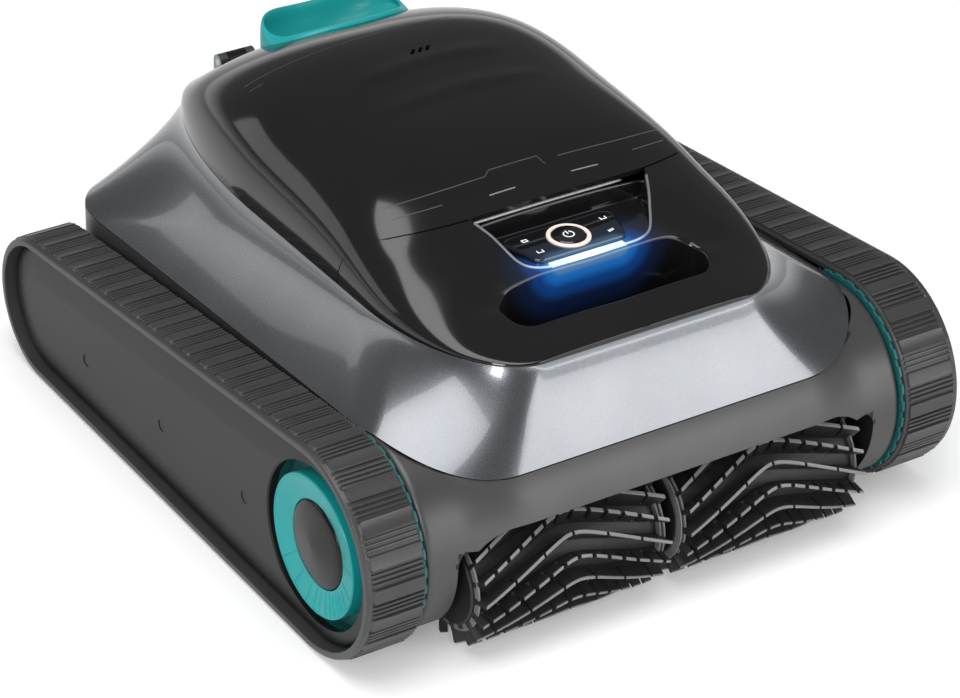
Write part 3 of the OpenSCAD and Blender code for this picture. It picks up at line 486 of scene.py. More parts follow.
def makeWorld(look):
    # white low down, greyer overhead; plain even light for what is matt
    world = bpy.data.worlds.new("studio")
    bpy.context.scene.world = world
    world.use_nodes = True
    tree = world.node_tree
    shader = tree.nodes["Background"]
    place = tree.nodes.new("ShaderNodeTexCoord")
    split = tree.nodes.new("ShaderNodeSeparateXYZ")
    tree.links.new(place.outputs["Generated"], split.inputs["Vector"])
    seen = spread(tree, split.outputs["Z"], 0.0, 0.15, look["horizon"], look["sky"])
    rays = tree.nodes.new("ShaderNodeLightPath")
    most = rays.outputs["Is Camera Ray"]
    for ray in ("Is Glossy Ray", "Is Transmission Ray"):
        most = mathNode(tree, "MAXIMUM", most, rays.outputs[ray])
    level = tree.nodes.new("ShaderNodeMix")     # its two levels are sockets 2 and 3
    setSockets(level, {2: look["diffuse"]})
    tree.links.new(most, level.inputs[0])
    tree.links.new(seen, level.inputs[3])
    # the camera itself sees plain white
    plain = mathNode(tree, "MAXIMUM", rays.outputs["Is Camera Ray"], level.outputs[0])
    tree.links.new(plain, shader.inputs["Strength"])
    setSockets(shader, {"Color": (1, 1, 1, 1)})


floorLook = {"radius": 9, "colour": (0.9, 0.9, 0.9), "shade": (0.88, 0.88, 0.88), "clouds": 1.5,
             "rough": 0.9, "lift": 0.22}


def makeFloor(look):
    bm = bmesh.new()
    bmesh.ops.create_circle(bm, cap_ends=True, segments=64, radius=look["radius"])
    mesh = toMesh("floor", bm)
    floorPlate = newObject("floor", mesh)
    material, tree, shader = newMaterial("paleFloor")
    colour = blendColours(tree, noiseOn(tree, look["clouds"]), look["colour"], look["shade"])
    tree.links.new(colour, shader.inputs["Base Color"])
    rays = tree.nodes.new("ShaderNodeLightPath")
    lift = spread(tree, rays.outputs["Is Camera Ray"], 0, 1, 0, look["lift"])
    setSockets(shader, {"Roughness": look["rough"], "Emission Color": (1, 1, 1, 1)})
    tree.links.new(lift, shader.inputs["Emission Strength"])
    mesh.materials.append(material)


makeCamera(cameraLook)
makeLamps()
makeWorld(worldLook)
makeFloor(floorLook)
bpy.context.scene.view_settings.view_transform = "Standard"
print("camera, lamps and floor made")


# the roof's surface, shared by the console, the lid and the cowl

roofLook = {"cornerFront": (56, 105), "cornerRear": (66, 167), "height": 68, "sideBend": 2.6,
            "sideRise": 0.36, "edgeBow": 30}
# the roof's section along its middle, as (place from front to rear, share of its height)
roofShape = [(0, 0.04), (0.087, 0.155), (0.201, 0.43), (0.258, 0.56), (0.362, 0.81),
             (0.499, 0.94), (0.697, 1), (0.861, 0.65), (1, 0.01)]


def curveAt(points, t):
    # a smooth curve through points (t, value)
    i = 0
    while i < len(points) - 2 and t >= points[i + 1][0]:
        i += 1

    def grade(k):
        a, b = points[max(0, k - 1)], points[min(len(points) - 1, k + 1)]
        return (b[1] - a[1]) / (b[0] - a[0])

    step = points[i + 1][0] - points[i][0]
    u = clamp((t - points[i][0]) / step)
    return (points[i][1] * (2 * u**3 - 3 * u**2 + 1) + grade(i) * step * (u**3 - 2 * u**2 + u)
            + points[i + 1][1] * (3 * u**2 - 2 * u**3) + grade(i + 1) * step * (u**3 - u**2))


def roofHalf(y, inset=0):
    (frontX, frontLong), (rearX, rearLong) = roofLook["cornerFront"], roofLook["cornerRear"]
    ahead = (roofFront + inset + frontLong - y) / frontLong
    behind = (y - roofRear + inset + rearLong) / rearLong
    if ahead > 0:
        return roofW - inset - frontX * (1 - quarter(ahead))
    if behind > 0:
        return roofW - inset - rearX * (1 - quarter(behind))
    return roofW - inset


def roofZ(x, y, inset=0, drop=0):
    u = min(1, abs(x) / max(1, roofHalf(y, inset)))
    along = clamp((y - roofFront) / (roofRear - roofFront))
    side = max(0, 1 - u ** roofLook["sideBend"]) ** roofLook["sideRise"]
    return seamZ - drop + roofLook["height"] * curveAt(roofShape, along) * side


def planPoint(u, w, front, rear, cornerFront, cornerRear):
    # u runs from 0 to 8 round a plan with elliptical corners, from the right front corner
    part, t = int(u) % 8, u - int(u)
    (fa, fb), (ra, rb) = cornerFront, cornerRear
    corners = {0: (w - fa, front + fb, fa, fb, -90), 2: (w - ra, rear - rb, ra, rb, 0),
               4: (ra - w, rear - rb, ra, rb, 90), 6: (fa - w, front + fb, fa, fb, 180)}
    if part in corners:
        cx, cy, a, b, turn = corners[part]
        angle = radians(turn + 90 * t)
        return cx + a * cos(angle), cy + b * sin(angle)
    ends = {1: ((w, front + fb), (w, rear - rb)), 3: ((w - ra, rear), (ra - w, rear)),
            5: ((-w, rear - rb), (-w, front + fb)), 7: ((fa - w, front), (w - fa, front))}
    (ax, ay), (bx, by) = ends[part]
    return mix(ax, bx, t), mix(ay, by, t)


def roofPlan(u, inset=0):
    return planPoint(u, roofW - inset, roofFront + inset, roofRear - inset,
                     roofLook["cornerFront"], roofLook["cornerRear"])


def edgeY(x):
    # the lid's front edge, bowed back towards the sides
    return lidEdge + roofLook["edgeBow"] * min(1.2, abs(x) / roofW) ** 4


# upper shell

shellLook = {"cornerFront": (68, 77), "cornerRear": (42, 50), "wall": 3, "ledgeDrop": 5, "columns": 256,
             "outerRows": 30, "bend": (1.5, 0.25), "crease": 32, "edge": 0.6,
             "seam": {"drop": 51, "lift": 17, "liftFrom": 105, "liftOver": 60, "rearDrop": 34,
                      "fall": 25, "fallOver": 378}}
# the two hinges at the back: where they stand, and the lid's knuckles and arms
hingeLook = {"places": (-40, 40), "halfLong": 6.6, "bore": 2.5, "r": 5}


def seamCut(x, y):
    # joint between the upper shell and the lower body
    seam = shellLook["seam"]
    lift = seam["lift"] * clamp((abs(x) - seam["liftFrom"]) / seam["liftOver"]) ** 2.2
    fall = seam["fall"] * (y - frontY - 3) / seam["fallOver"]
    return min(seamZ - seam["drop"] + lift, seamZ - seam["rearDrop"] - fall)


def shellPoint(u, v, inset):
    top = roofPlan(u, inset)
    foot = planPoint(u, bodySide - inset, skirtFront + inset, skirtRear - inset,
                     shellLook["cornerFront"], shellLook["cornerRear"])
    bend = shellLook["bend"][0] - shellLook["bend"][1] * smooth((frontY + 40 - foot[1]) / 80)
    x, y = (mix(a, b, v ** bend) for a, b in zip(top, foot))
    return x, y, mix(seamZ - 0.6, seamCut(*foot) + 0.3, v)


def shellRows():
    # the wall's section: down the outside, up the inside and round the ledge under the roof
    look = shellLook
    ledge, wall = seamZ - look["ledgeDrop"], look["wall"]
    rows = [("skirt", 0, k / look["outerRows"]) for k in range(look["outerRows"] + 1)]
    rows += [("skirt", wall, v) for v in (0.985, 0.85, 0.65, 0.45, 0.25)]
    for inset, z in ((wall + 1, ledge - 4), (14, ledge - 4), (14, ledge), (2.4, ledge), (2.4, seamZ - 0.6)):
        rows.append(("ledge", inset, z))
    return rows + rows[:1]


def makeUpperShell():
    look = shellLook
    rows = shellRows()

    def where(u, w):
        kind, inset, value = rowAt(rows, w)
        if kind == "ledge":
            return (*roofPlan(8 * u, inset), value)
        return shellPoint(8 * u, value, inset)

    piece = asPiece("upperShell", sheetGrid(look["columns"], len(rows) - 1, where), [finish["shellMetal"]],
                    "root", ["upper_shell"], look["crease"])
    notches = bmesh.new()
    for x in hingeLook["places"]:
        addBox(notches, (x - 13, roofRear - 6, seamZ - 11), (x + 13, roofRear + 14, seamZ + 9))
    cutAway(piece, notches, look["crease"])
    addBevel(piece, look["edge"], 50)


makeUpperShell()
print("upper shell made")


# lower body

bodyLook = {"wall": 2.4, "edge": 4, "noseSteps": 64, "tunnelR": brushR + 4.3, "tunnelEnd": bodySide - 20,
            "tunnelRound": 7, "tunnelWall": 3, "archR": 40, "archDrop": 1, "endWall": 2.5,
            "backRound": 18, "gap": 0.3, "crease": 30}


def noseR(x):
    # the nose is round in front and steps in beside the front wheels
    return frontR - 4.9 + 6.8 * (1 - smooth((abs(x) - 100) / 45))


def backAt(x, inset):
    cornerX, cornerLong = shellLook["cornerRear"]
    u = (abs(x) - bodySide + cornerX) / cornerX
    return skirtRear - inset - cornerLong * (1 - quarter(max(0, u)))


def bodyLoop(x, inset, rise):
    # the body's outline seen from the side: nose, belly, back and the line of the joint
    look = bodyLook
    r, bend, noseSteps = noseR(x) - inset, look["backRound"], look["noseSteps"]

    def topAt(y):
        return seamCut(x, y) - look["gap"]

    start = pi / 2
    while start < pi and frontR + r * sin(start) > topAt(frontY + r * cos(start)):
        start += radians(0.25)
    end = pi + asinOf((frontR - bellyZ - inset) / r)
    back = backAt(x, inset)
    points = []
    for k in range(noseSteps + 1):
        angle = mix(start, end, k / noseSteps)
        points.append((frontY + r * cos(angle), frontR + r * sin(angle)))
    for k in range(1, 7):
        points.append((mix(points[noseSteps][0], back - bend, k / 7), bellyZ + inset))
    for k in range(9):
        angle = mix(-pi / 2, 0, k / 8)
        points.append((back - bend + bend * cos(angle), bellyZ + inset + bend + bend * sin(angle)))
    for k in range(7):
        points.append((back, mix(bellyZ + inset + bend + 2, topAt(back) + rise, k / 6)))
    frontTop = points[0][0]
    for k in range(1, 28):
        y = mix(back, frontTop, k / 28)
        points.append((y, topAt(y) + rise))
    if rise:
        points.append((frontTop, topAt(frontTop) + rise))
    return points + points[:1]


def bodySolid(inset=0, rise=0):
    # columns across the body, each (x, how far its outline is drawn in, how far it closes to a point)
    side, edge = bodySide - inset, bodyLook["edge"]
    columns = []
    for k in range(5):
        columns.append((-side, inset + edge, 1 - k / 4))
    for k in range(1, 6):
        angle = pi / 2 * k / 6
        columns.append((-side + edge * (1 - cos(angle)), inset + edge * (1 - sin(angle)), 0))
    inner = side - edge
    columns += [(mix(-inner, inner, (1 - cos(pi * k / 120)) / 4 + k / 240), inset, 0) for k in range(121)]
    columns += [(-x, t, squeeze) for x, t, squeeze in reversed(columns[:10])]
    loops = []
    for x, t, squeeze in columns:
        loop = bodyLoop(x, t, rise)
        cy = sum(p[0] for p in loop) / len(loop)
        cz = sum(p[1] for p in loop) / len(loop)
        loops.append([(x, mix(y, cy, squeeze), mix(z, cz, squeeze)) for y, z in loop])

    def where(u, w):
        return rowAt(rowAt(loops, u), w)

    return sheetGrid(len(loops) - 1, len(loops[0]) - 1, where)


def tunnelForm(grow, ends):
    # the tunnel round the brush, turned about the brush's axis
    r, end, bend = bodyLook["tunnelR"] + grow, bodyLook["tunnelEnd"] + ends, bodyLook["tunnelRound"]
    angles = [pi / 2 * k / 8 for k in range(9)]
    corner = [(r - bend + bend * cos(angle), end - bend + bend * sin(angle)) for angle in angles]
    bm = bmesh.new()
    spinProfile(bm, [(0, -end)] + [(q, -x) for q, x in reversed(corner)] + corner + [(0, end)],
                (brushY, brushZ), 192)
    return bm


def archForm(grow, ends):
    # the rounded opening that the tunnel makes in the nose, as a bar along Y
    end, r = bodyLook["tunnelEnd"], bodyLook["archR"]
    top = brushZ + bodyLook["tunnelR"] - bodyLook["archDrop"]
    outline = [(end + ends, brushZ - 60), (end + ends, top - r)]
    for k in range(1, 17):
        angle = pi / 2 * k / 16
        outline.append((end - r + (r + grow) * cos(angle), top - r + (r + grow) * sin(angle)))
    outline += [(-x, z) for x, z in reversed(outline)]
    count = len(outline)
    depths = (0, -60)

    def where(u, w):
        x, z = ringAt(outline, u)
        return x, brushY + depths[round(w)], z

    bm = sheetGrid(count, 1, where)
    closeEnds(bm)
    return bm


def addRod(bm, centre, r, x0, x1, steps=64):
    # a closed cylinder along X
    spinProfile(bm, [(0, x0), (r, x0), (r, x1), (0, x1)], centre, steps)


def makeLowerBody():
    look = bodyLook
    crease = look["crease"]
    hollow = asPiece("hollow", bodySolid(look["wall"], 30), [], "root")
    for form in (tunnelForm, archForm):
        cutAway(hollow, form(look["tunnelWall"], look["endWall"]))
    body = asPiece("lowerBody", bodySolid(), [finish["bumperMetal"], finish["tunnelShade"]], "root",
                   ["lower_body"], crease)
    space = bmesh.new()
    space.from_mesh(hollow.data)
    bmesh.ops.scale(space, vec=(1 / mm, 1 / mm, 1 / mm), verts=space.verts)
    bpy.data.objects.remove(hollow)
    cutAway(body, space, crease)
    for form in (tunnelForm, archForm):
        cutAway(body, form(0, 0), crease)
    holes = bmesh.new()
    motorY = middle("motor_pinion_right").y
    for s in (-1, 1):
        for centre, r in (((frontY, frontR), 12.2), ((motorY, frontR), 5), ((rearY, rearR), 10.1)):
            addRod(holes, centre, r, s * bodySide - 5, s * bodySide + 5)
    frameLow, frameHigh = low("intake_frame"), high("intake_frame")
    flange = 6                          # the intake's rim laps the belly by this much
    addBox(holes, (frameLow.x + flange, frameLow.y + flange, bellyZ - 5),
           (frameHigh.x - flange, frameHigh.y - flange, bellyZ + 7))
    cutAway(body, holes, crease)
    # the tunnel, its mouth and the inside are painted near black as the shade in them
    reach = look["tunnelR"] + 0.4
    for face in body.data.polygons:
        x, y, z = (value / mm for value in face.center)
        inTunnel = hypot(y - brushY, z - brushZ) < reach and abs(x) < look["tunnelEnd"] + 0.4
        overMouth = brushY - 28 < y < brushY and z > brushZ and abs(face.normal.y) < 0.3
        inMouth = overMouth and hypot(y - frontY, z - frontR) < noseR(x) - 0.6
        behindWall = face.normal.z > 0.2 and z > bellyZ + 10 and y > brushY + 60
        face.material_index = 1 if inTunnel or inMouth or behindWall else 0


makeLowerBody()
print("lower body made")


# console with the grip and the hollow for the panel

consoleLook = {"dish": 4.5, "dishReach": 30, "floorZ": panelZ - 3, "rimRoll": 2.6, "wall": 2.2, "gap": 0.4,
               "ringSteps": 72, "rollSteps": 6, "wallDepths": (0.5, 0.75, 1), "floorRound": 4}
# the hollow's corners as (x, how far to its rear edge from 0 to 1, rounding), and what its rim does
hollowLook = {"corners": ((-55, 1, 0), (-42, 0, 16), (53, 0, 20), (72, 1, 0)), "ahead": 3.2, "slope": 38,
              "draft": 0.10, "draftOver": 22, "middle": 6, "wallDrop": 4.8, "snap": 1.5, "wallSteps": 6,
              "floorSteps": (0.985, 0.96, 0.8, 0.55, 0.3),
              "bead": ((1.0, -0.5), (1.05, 0.2), (0.6, 0.7), (0, 0.8), (-0.5, 0.45), (-0.6, -0.5))}
hollowFront, hollowRear = gripY + gripR + hollowLook["ahead"], lidEdge - 0.6


def stadiumReach(dx, dy, w, r):
    # distance from the middle of a stadium to its edge along (dx, dy), found by halving
    near, far = 0, w + r
    for _ in range(40):
        t = (near + far) / 2
        outside = max(0, abs(dx * t) - (w - r)) ** 2 + (dy * t) ** 2 > r * r
        near, far = (near, t) if outside else (t, far)
    return near


def consoleZ(x, y):
    # the roof's surface, dished behind the grip and falling to the hollow's front corner
    look = consoleLook
    z = roofZ(x, y)
    off = hypot(max(0, abs(x) - (gripW - gripR)), y - gripY) - gripR
    beside = smooth((y - gripY + 4) / 18)
    z -= look["dish"] * beside * smooth(1 - max(0, off) / look["dishReach"])
    t = clamp((y - hollowFront) / (hollowRear - hollowFront))
    (rearLeft, _, _), (frontLeft, _, _), (frontRight, _, _), (rearRight, _, _) = hollowLook["corners"]
    out = max(0, x - mix(frontRight, rearRight, t) + 10, mix(frontLeft, rearLeft, t) + 10 - x)
    ahead = smooth((y - gripY - 2) / (hollowFront - gripY - 4))
    fall = ahead * smooth(1 - out / hollowLook["slope"]) * (1 - smooth(t / 0.75))
    return mix(z, look["floorZ"] + 0.2, fall)


def consoleOutline():
    # right end of the lid's edge to the left along it, then back round the front of the roof
    gap = consoleLook["gap"]
    side = roofW - 0.02
    points = []
    for k in range(120):
        x = mix(side, -side, k / 120)
        points.append((x, edgeY(x) - gap))
    joint = edgeY(side) - gap
    for k in range(14):
        points.append((-roofW, mix(joint, roofFront + roofLook["cornerFront"][1], k / 14)))
    points += [roofPlan(6 + t / 48) for t in range(48)]
    points += [roofPlan(7 + t / 40) for t in range(40)]
    points += [roofPlan(t / 48) for t in range(48)]
    for k in range(14):
        points.append((roofW, mix(roofFront + roofLook["cornerFront"][1], joint, k / 14)))
    return points


def easedPath(corners, steps=12):
    # corners are (x, y, how far before the corner its curve starts)
    path = []
    count = len(corners)
    for k in range(count):
        (ax, ay, _), (bx, by, cut), (cx, cy, _) = corners[k - 1], corners[k], corners[(k + 1) % count]
        if cut == 0:
            path.append((bx, by))
            continue
        before, after = cut / hypot(ax - bx, ay - by), cut / hypot(cx - bx, cy - by)
        px, py, qx, qy = mix(bx, ax, before), mix(by, ay, before), mix(bx, cx, after), mix(by, cy, after)
        for j in range(steps + 1):
            t = j / steps
            path.append((mix(mix(px, bx, t), mix(bx, qx, t), t), mix(mix(py, by, t), mix(by, qy, t), t)))
    return path


def hollowPath():
    # the hollow's outline with evenly spaced points, from its rear left corner round the front
    corners = [(x, mix(hollowFront, hollowRear, t), cut) for x, t, cut in hollowLook["corners"]]
    path = easedPath(corners)
    points = []
    for k, (x, y) in enumerate(path):
        nextX, nextY = path[(k + 1) % len(path)]
        pieces = max(1, round(hypot(nextX - x, nextY - y) / 2.5))
        points += [(mix(x, nextX, j / pieces), mix(y, nextY, j / pieces)) for j in range(pieces)]
    return points


def drafted(x, z):
    # the hollow narrows towards its floor
    look = hollowLook
    above = (z - consoleLook["floorZ"]) / look["draftOver"]
    return look["middle"] + (x - look["middle"]) * (1 - look["draft"] * (1 - above))


def rimAt(path, k):
    # a rim point with its outward direction, the height of the surface there and whether it has a bead
    x, y = path[k]
    if y > hollowRear - 0.01:
        return x, y, (0, 0), roofZ(x, lidEdge) - hollowLook["wallDrop"], False
    out = normalTo(path[k - 1], path[(k + 1) % len(path)])
    return x, y, out, consoleZ(drafted(x, roofZ(x, y) - 4) + out[0], y + out[1]), True


def rimSides():
    # the sides of the rim's outline, each with its outward direction and how far out it lies
    path = hollowPath()
    rims = [rimAt(path, k) for k in range(len(path))]
    line = [(drafted(x, top), y) for x, y, _, top, beaded in rims if beaded]
    sides = []
    for a, b in zip(line, line[1:]):
        out = normalTo(a, b)
        sides.append((out, a[0] * out[0] + a[1] * out[1]))
    return sides


def sunk(sides, x, y, z):
    # inside the rim the console drops under the hollow's floor; points near the rim move onto it
    if abs(x) > 90 or y < hollowFront - 4:
        return x, y, z
    depth, out = min((far - x * way[0] - y * way[1], way) for way, far in sides)
    if depth < 0:
        return x, y, z
    if depth < hollowLook["snap"]:
        return x + depth * out[0], y + depth * out[1], z
    return x, y, min(z, consoleLook["floorZ"] - 1.2)


def makeConsole():
    # rings from the outline to the middle of the grip: wall, surface, rolled rim, grip wall, grip floor
    look = consoleLook
    outline = consoleOutline()
    rolls, depths, bend = look["rollSteps"], look["wallDepths"], look["floorRound"]
    rings = 3 + look["ringSteps"] + rolls + len(depths) + 6
    sides = rimSides()

    def where(u, w):
        return sunk(sides, *surfaceAt(u, w))

    def surfaceAt(u, w):
        ox, oy = ringAt(outline, u)
        dx, dy = ox, oy - gripY
        away = hypot(dx, dy)
        dx, dy = dx / away, dy / away
        reach = stadiumReach(dx, dy, gripW, gripR)
        k = round(w * rings)
        front = oy < edgeY(ox) - 1.5
        edgeZ = max(seamZ + 0.01, consoleZ(ox * 0.9995, mix(oy, gripY, 0.0005)))
        if k < 3:
            # the wall down to the joint, and its rolled top edge
            z = (seamZ - 4, mix(seamZ, edgeZ, 0.55), edgeZ - 0.25)[k]
            if not front:
                z = edgeZ - (look["wall"], 1.1, 0.25)[k]
            return ox, oy, z
        k -= 3
        if k <= look["ringSteps"]:
            t = k / look["ringSteps"]
            edge = min(0.4, away * 0.01)
            far = mix(away - edge, reach + look["rimRoll"], mix(t, smooth(t), 0.35))
            x, y = dx * far, gripY + dy * far
            return x, y, max(seamZ + 0.01, consoleZ(x, y))
        k -= look["ringSteps"]
        rimX, rimY = dx * (reach + look["rimRoll"]), gripY + dy * (reach + look["rimRoll"])
        rimZ = consoleZ(rimX, rimY)
        if k <= rolls:
            angle = pi / 2 * k / rolls
            far = reach + look["rimRoll"] * (1 - sin(angle))
            return dx * far, gripY + dy * far, rimZ - look["rimRoll"] * (1 - cos(angle))
        k -= rolls
        if k <= len(depths):
            z = mix(rimZ - look["rimRoll"], gripFloor + bend, depths[k - 1])
            return dx * reach, gripY + dy * reach, z
        k -= len(depths)
        if k <= 4:
            angle = pi / 2 * k / 4
            far = reach - bend * (1 - cos(angle))
            return dx * far, gripY + dy * far, gripFloor + bend * (1 - sin(angle))
        far = (reach - bend) * (0.5 if k == 5 else 0)
        return dx * far, gripY + dy * far, gripFloor

    bm = sheetGrid(len(outline), rings, where)
    faceUp(bm)
    # the console carries the painted blue glow round the bar
    asPiece("consoleTop", bm, [finish["consolePaintedGlow"]], "root", ["console"], 50, False)


def makeHollow():
    # a tray for the panel and a bead along its rim
    path = hollowPath()
    count = len(path)
    floorZ = consoleLook["floorZ"]
    rims = [rimAt(path, k) for k in range(count)]
    bead, wall, floorSteps = pick(hollowLook, "bead", "wallSteps", "floorSteps")

    def trayAt(u, w):
        x, y, out, top, _ = ringAt(rims, u)
        k = round(w * (wall + len(floorSteps)))
        z = mix(top - 0.2, floorZ + 0.8, min(1, k / wall))
        px, py = drafted(x, z) - 0.3 * out[0], y - 0.3 * out[1]
        if k > wall:
            keep = floorSteps[k - wall - 1]
            px, py = mix(hollowLook["middle"], px, keep), mix(panelY, py, keep)
            z = floorZ + (0.25 if k == wall + 1 else 0)
        return px, py, z

    tray = sheetGrid(count, wall + len(floorSteps), trayAt)
    faceUp(tray, min)
    piece = asPiece("hollowTray", tray, [finish["consolePaintedGlow"]], "root", (), 40, False)
    addSolidify(piece, 1.0)
    beaded = [rim for rim in rims if rim[4]]

    def beadAt(u, w):
        x, y, out, top, _ = rowAt(beaded, w)
        off, rise = ringAt(bead, u)
        return drafted(x, top) + off * out[0], y + off * out[1], top + rise

    rim = sheetGrid(len(bead), len(beaded) - 1, beadAt)
    closeEnds(rim)
    asPiece("hollowRim", rim, [finish["rimGlow"]], "root", (), 60)


makeConsole()
makeHollow()
print("console and hollow made")


# lid

lidLook = {"wall": 3, "gap": 0.4, "across": 120, "along": 96, "crease": 45, "outlet": (43, 26),
           "slots": {"step": 5.3, "width": 2.2, "long": 7, "turn": -43, "behind": 46},
           "ridges": [{"y": 33, "half": 60, "bow": 5, "rise": 1.3},
                      {"y": -1, "half": 68, "bow": 5, "rise": 1.3}]}


def ridgeRise(x, y):
    # two shallow steps across the lid, fading at their ends
    rise = 0
    for ridge in lidLook["ridges"]:
        line = roofMid + ridge["y"] - ridge["bow"] * (x / ridge["half"]) ** 2
        fade = smooth((1 - abs(x) / ridge["half"]) * 2.2)
        behind = y - line
        rise += ridge["rise"] * fade * smooth((behind + 1.2) / 2.4) * smooth(1 - (behind - 2) / 16)
    return rise


def lidPoint(u, w, inset, drop):
    # u runs across the lid and w from its front edge to the back
    across = 2 * u - 1
    across = (1 if across > 0 else -1) * (1 - (1 - abs(across)) ** 2.0)
    start = lidEdge + lidLook["gap"] + roofLook["edgeBow"] * abs(across) ** 4
    along = 1 - (1 - w) ** 1.35
    y = mix(start, roofRear - inset, along)
    x = across * roofHalf(y, inset)
    if inset == 0:
        drop -= ridgeRise(x, y)
    return x, y, max(seamZ, roofZ(x, y, inset, drop))


def makeLid():
    look = lidLook
    count, across = look["along"], look["across"]
    rows = [("out", k / count) for k in range(count + 1)]
    rows += [("in", 1 - k / count) for k in range(count + 1)]
    rows.append(rows[0])

    def where(u, w):
        kind, along = rowAt(rows, w)
        column = round(u * across)
        if kind == "out" or column in (0, across):
            return lidPoint(u, along, 0, 0)
        return lidPoint(clamp((column - 1) / (across - 2)), along, look["wall"], look["wall"])

    bm = sheetGrid(across, len(rows) - 1, where)
    bmesh.ops.remove_doubles(bm, verts=bm.verts, dist=0.001)
    piece = asPiece("lidTop", bm, [finish["roofGloss"]], "lid", ["lid"], look["crease"])
    holes = bmesh.new()
    rim = bmesh.ops.create_cone(holes, cap_ends=True, segments=96, radius1=1, radius2=1, depth=120)["verts"]
    bmesh.ops.scale(holes, vec=(*look["outlet"], 1), verts=rim)
    bmesh.ops.translate(holes, vec=(0, outletY, seamZ + 60), verts=rim)
    slots = look["slots"]
    turn = Matrix.Rotation(radians(slots["turn"]), 3, "Z")
    for k in (-1, 0, 1):
        made = addBox(holes, (-slots["width"] / 2, 0, 0), (slots["width"] / 2, slots["long"], 60))
        bmesh.ops.rotate(holes, cent=(0, 0, 0), matrix=turn, verts=made)
        place = (k * slots["step"], roofMid + slots["behind"], seamZ + 40)
        bmesh.ops.translate(holes, vec=place, verts=made)
    for x in hingeLook["places"]:
        addBox(holes, (x - 13.4, roofRear - 5, seamZ - 2), (x + 13.4, roofRear + 15, seamZ + 12.2))
    cutAway(piece, holes, look["crease"])


def makeLidHinges():
    half, bore, r = pick(hingeLook, "halfLong", "bore", "r")
    y, z = middle("hinge_pins").y, middle("hinge_pins").z
    knuckles, arms = bmesh.new(), bmesh.new()
    for x in hingeLook["places"]:
        profile = [(bore, x - half), (r, x - half), (r, x + half), (bore, x + half), (bore, x - half)]
        spinProfile(knuckles, profile, (y, z), 48)
        addBox(arms, (x - half, y - 14, z - 2), (x + half, y - 3.6, z + 4))
    asPiece("lidKnuckles", knuckles, [finish["roofGloss"]], "lid", ())
    addBevel(asPiece("lidArms", arms, [finish["roofGloss"]], "lid", ()), 0.6)


makeLid()
makeLidHinges()
print("lid made")


# outlet cowl

# the cowl's section as (how far up from 0 to 1, half width, half length); under the roof, millimetres down
cowlLook = {"steps": 128, "high": 25, "low": 3, "lean": 4,
            "outer": ((0, 52, 30), (0.15, 51.6, 30.4), (0.4, 51, 31), (0.75, 50, 32), (0.96, 48.6, 31.6),
                      (1, 48, 31)),
            "inner": ((1, 47, 30), (0.9, 46.7, 29.4), (0.7, 47, 29), (0.5, 47.5, 28.5), (0.15, 44, 26),
                      (0, 40.5, 23.5)),
            "collar": ((-8, 40.5, 23.5), (-8, 42.9, 25.9), (-2.5, 42.9, 25.9), (-1.5, 51, 29))}


def cowlPoint(q, rise, a, b):
    x, y = a * cos(q), outletY + cowlLook["lean"] * rise + b * sin(q)
    top = cowlLook["low"] + cowlLook["high"] * smooth((sin(q) + 0.55) / 1.5)
    return x, y, roofZ(x, y) + rise * top


def makeCowl():
    look = cowlLook
    rows = look["outer"] + look["inner"] + look["collar"] + look["outer"][:1]

    def where(u, w):
        rise, a, b = rowAt(rows, w)
        x, y, z = cowlPoint(2 * pi * u, max(0, rise), a, b)
        return x, y, z + min(0, rise)

    piece = asPiece("outletCowl", sheetGrid(look["steps"], len(rows) - 1, where), [finish["teal"]], "lid",
                    ["outlet_cowl"], 45)
    smoothEdge = piece.modifiers.new("soft", "SUBSURF")
    smoothEdge.levels = smoothEdge.render_levels = 1
    return piece


makeCowl()
print("cowl made")


# belts: pads and fine ribs round the two wheels

# depths are below the tops of the pads; pad and ribs are shares of one pitch
beltLook = {"treads": 50, "thick": 6, "floor": 2.0, "pad": (0.03, 0.47), "padDish": 0.3,
            "ribs": ((0.545, 0.64), (0.69, 0.785), (0.835, 0.93)), "ribDrop": 0.45, "edge": 0.012,
            "band": 1.35, "bandFrom": 3.2, "crease": 32}
wheelsApart = hypot(rearY - frontY, frontR - rearR)
slope = 2 * asinOf((frontR - rearR) / wheelsApart)
straight = sqrt(wheelsApart ** 2 - (frontR - rearR) ** 2)
frontArc, rearArc = frontR * (pi + slope), rearR * (pi - slope)
beltLoop = frontArc + rearArc + 2 * straight


def beltAt(s, depth):
    # y, z on the belt at path length s, depth below the tops of the pads
    s = s % beltLoop
    if s < frontArc:
        angle = pi / 2 - slope + s / frontR
        return frontY + (frontR - depth) * cos(angle), frontR + (frontR - depth) * sin(angle)
    s -= frontArc
    if s < straight:
        return frontY + s, depth
    s -= straight
    if s < rearArc:
        angle = s / rearR - pi / 2
        return rearY + (rearR - depth) * cos(angle), rearR + (rearR - depth) * sin(angle)
    s -= rearArc
    angle = pi / 2 - slope
    return (rearY + (rearR - depth) * cos(angle) - s * cos(slope),
            rearR + (rearR - depth) * sin(angle) + s * sin(slope))


def treadStations():
    # each pitch's samples: place along it, depth there, and the middle of its pad or rib
    look, edge = beltLook, beltLook["edge"]
    stations = []
    raised = [(*look["pad"], 0.0, look["padDish"])]
    raised += [(start, end, look["ribDrop"], look["ribDrop"]) for start, end in look["ribs"]]
    for start, end, top, crown in raised:
        centre = (start + end) / 2
        lip = (end - start) / 7
        stations += [(start, look["floor"], centre), (start + edge, top + 0.25, centre),
                     (start + edge * 2, top, centre), (start + lip + edge, crown, centre),
                     (end - lip - edge, crown, centre), (end - edge * 2, top, centre),
                     (end - edge, top + 0.25, centre), (end, look["floor"], centre)]
    return stations


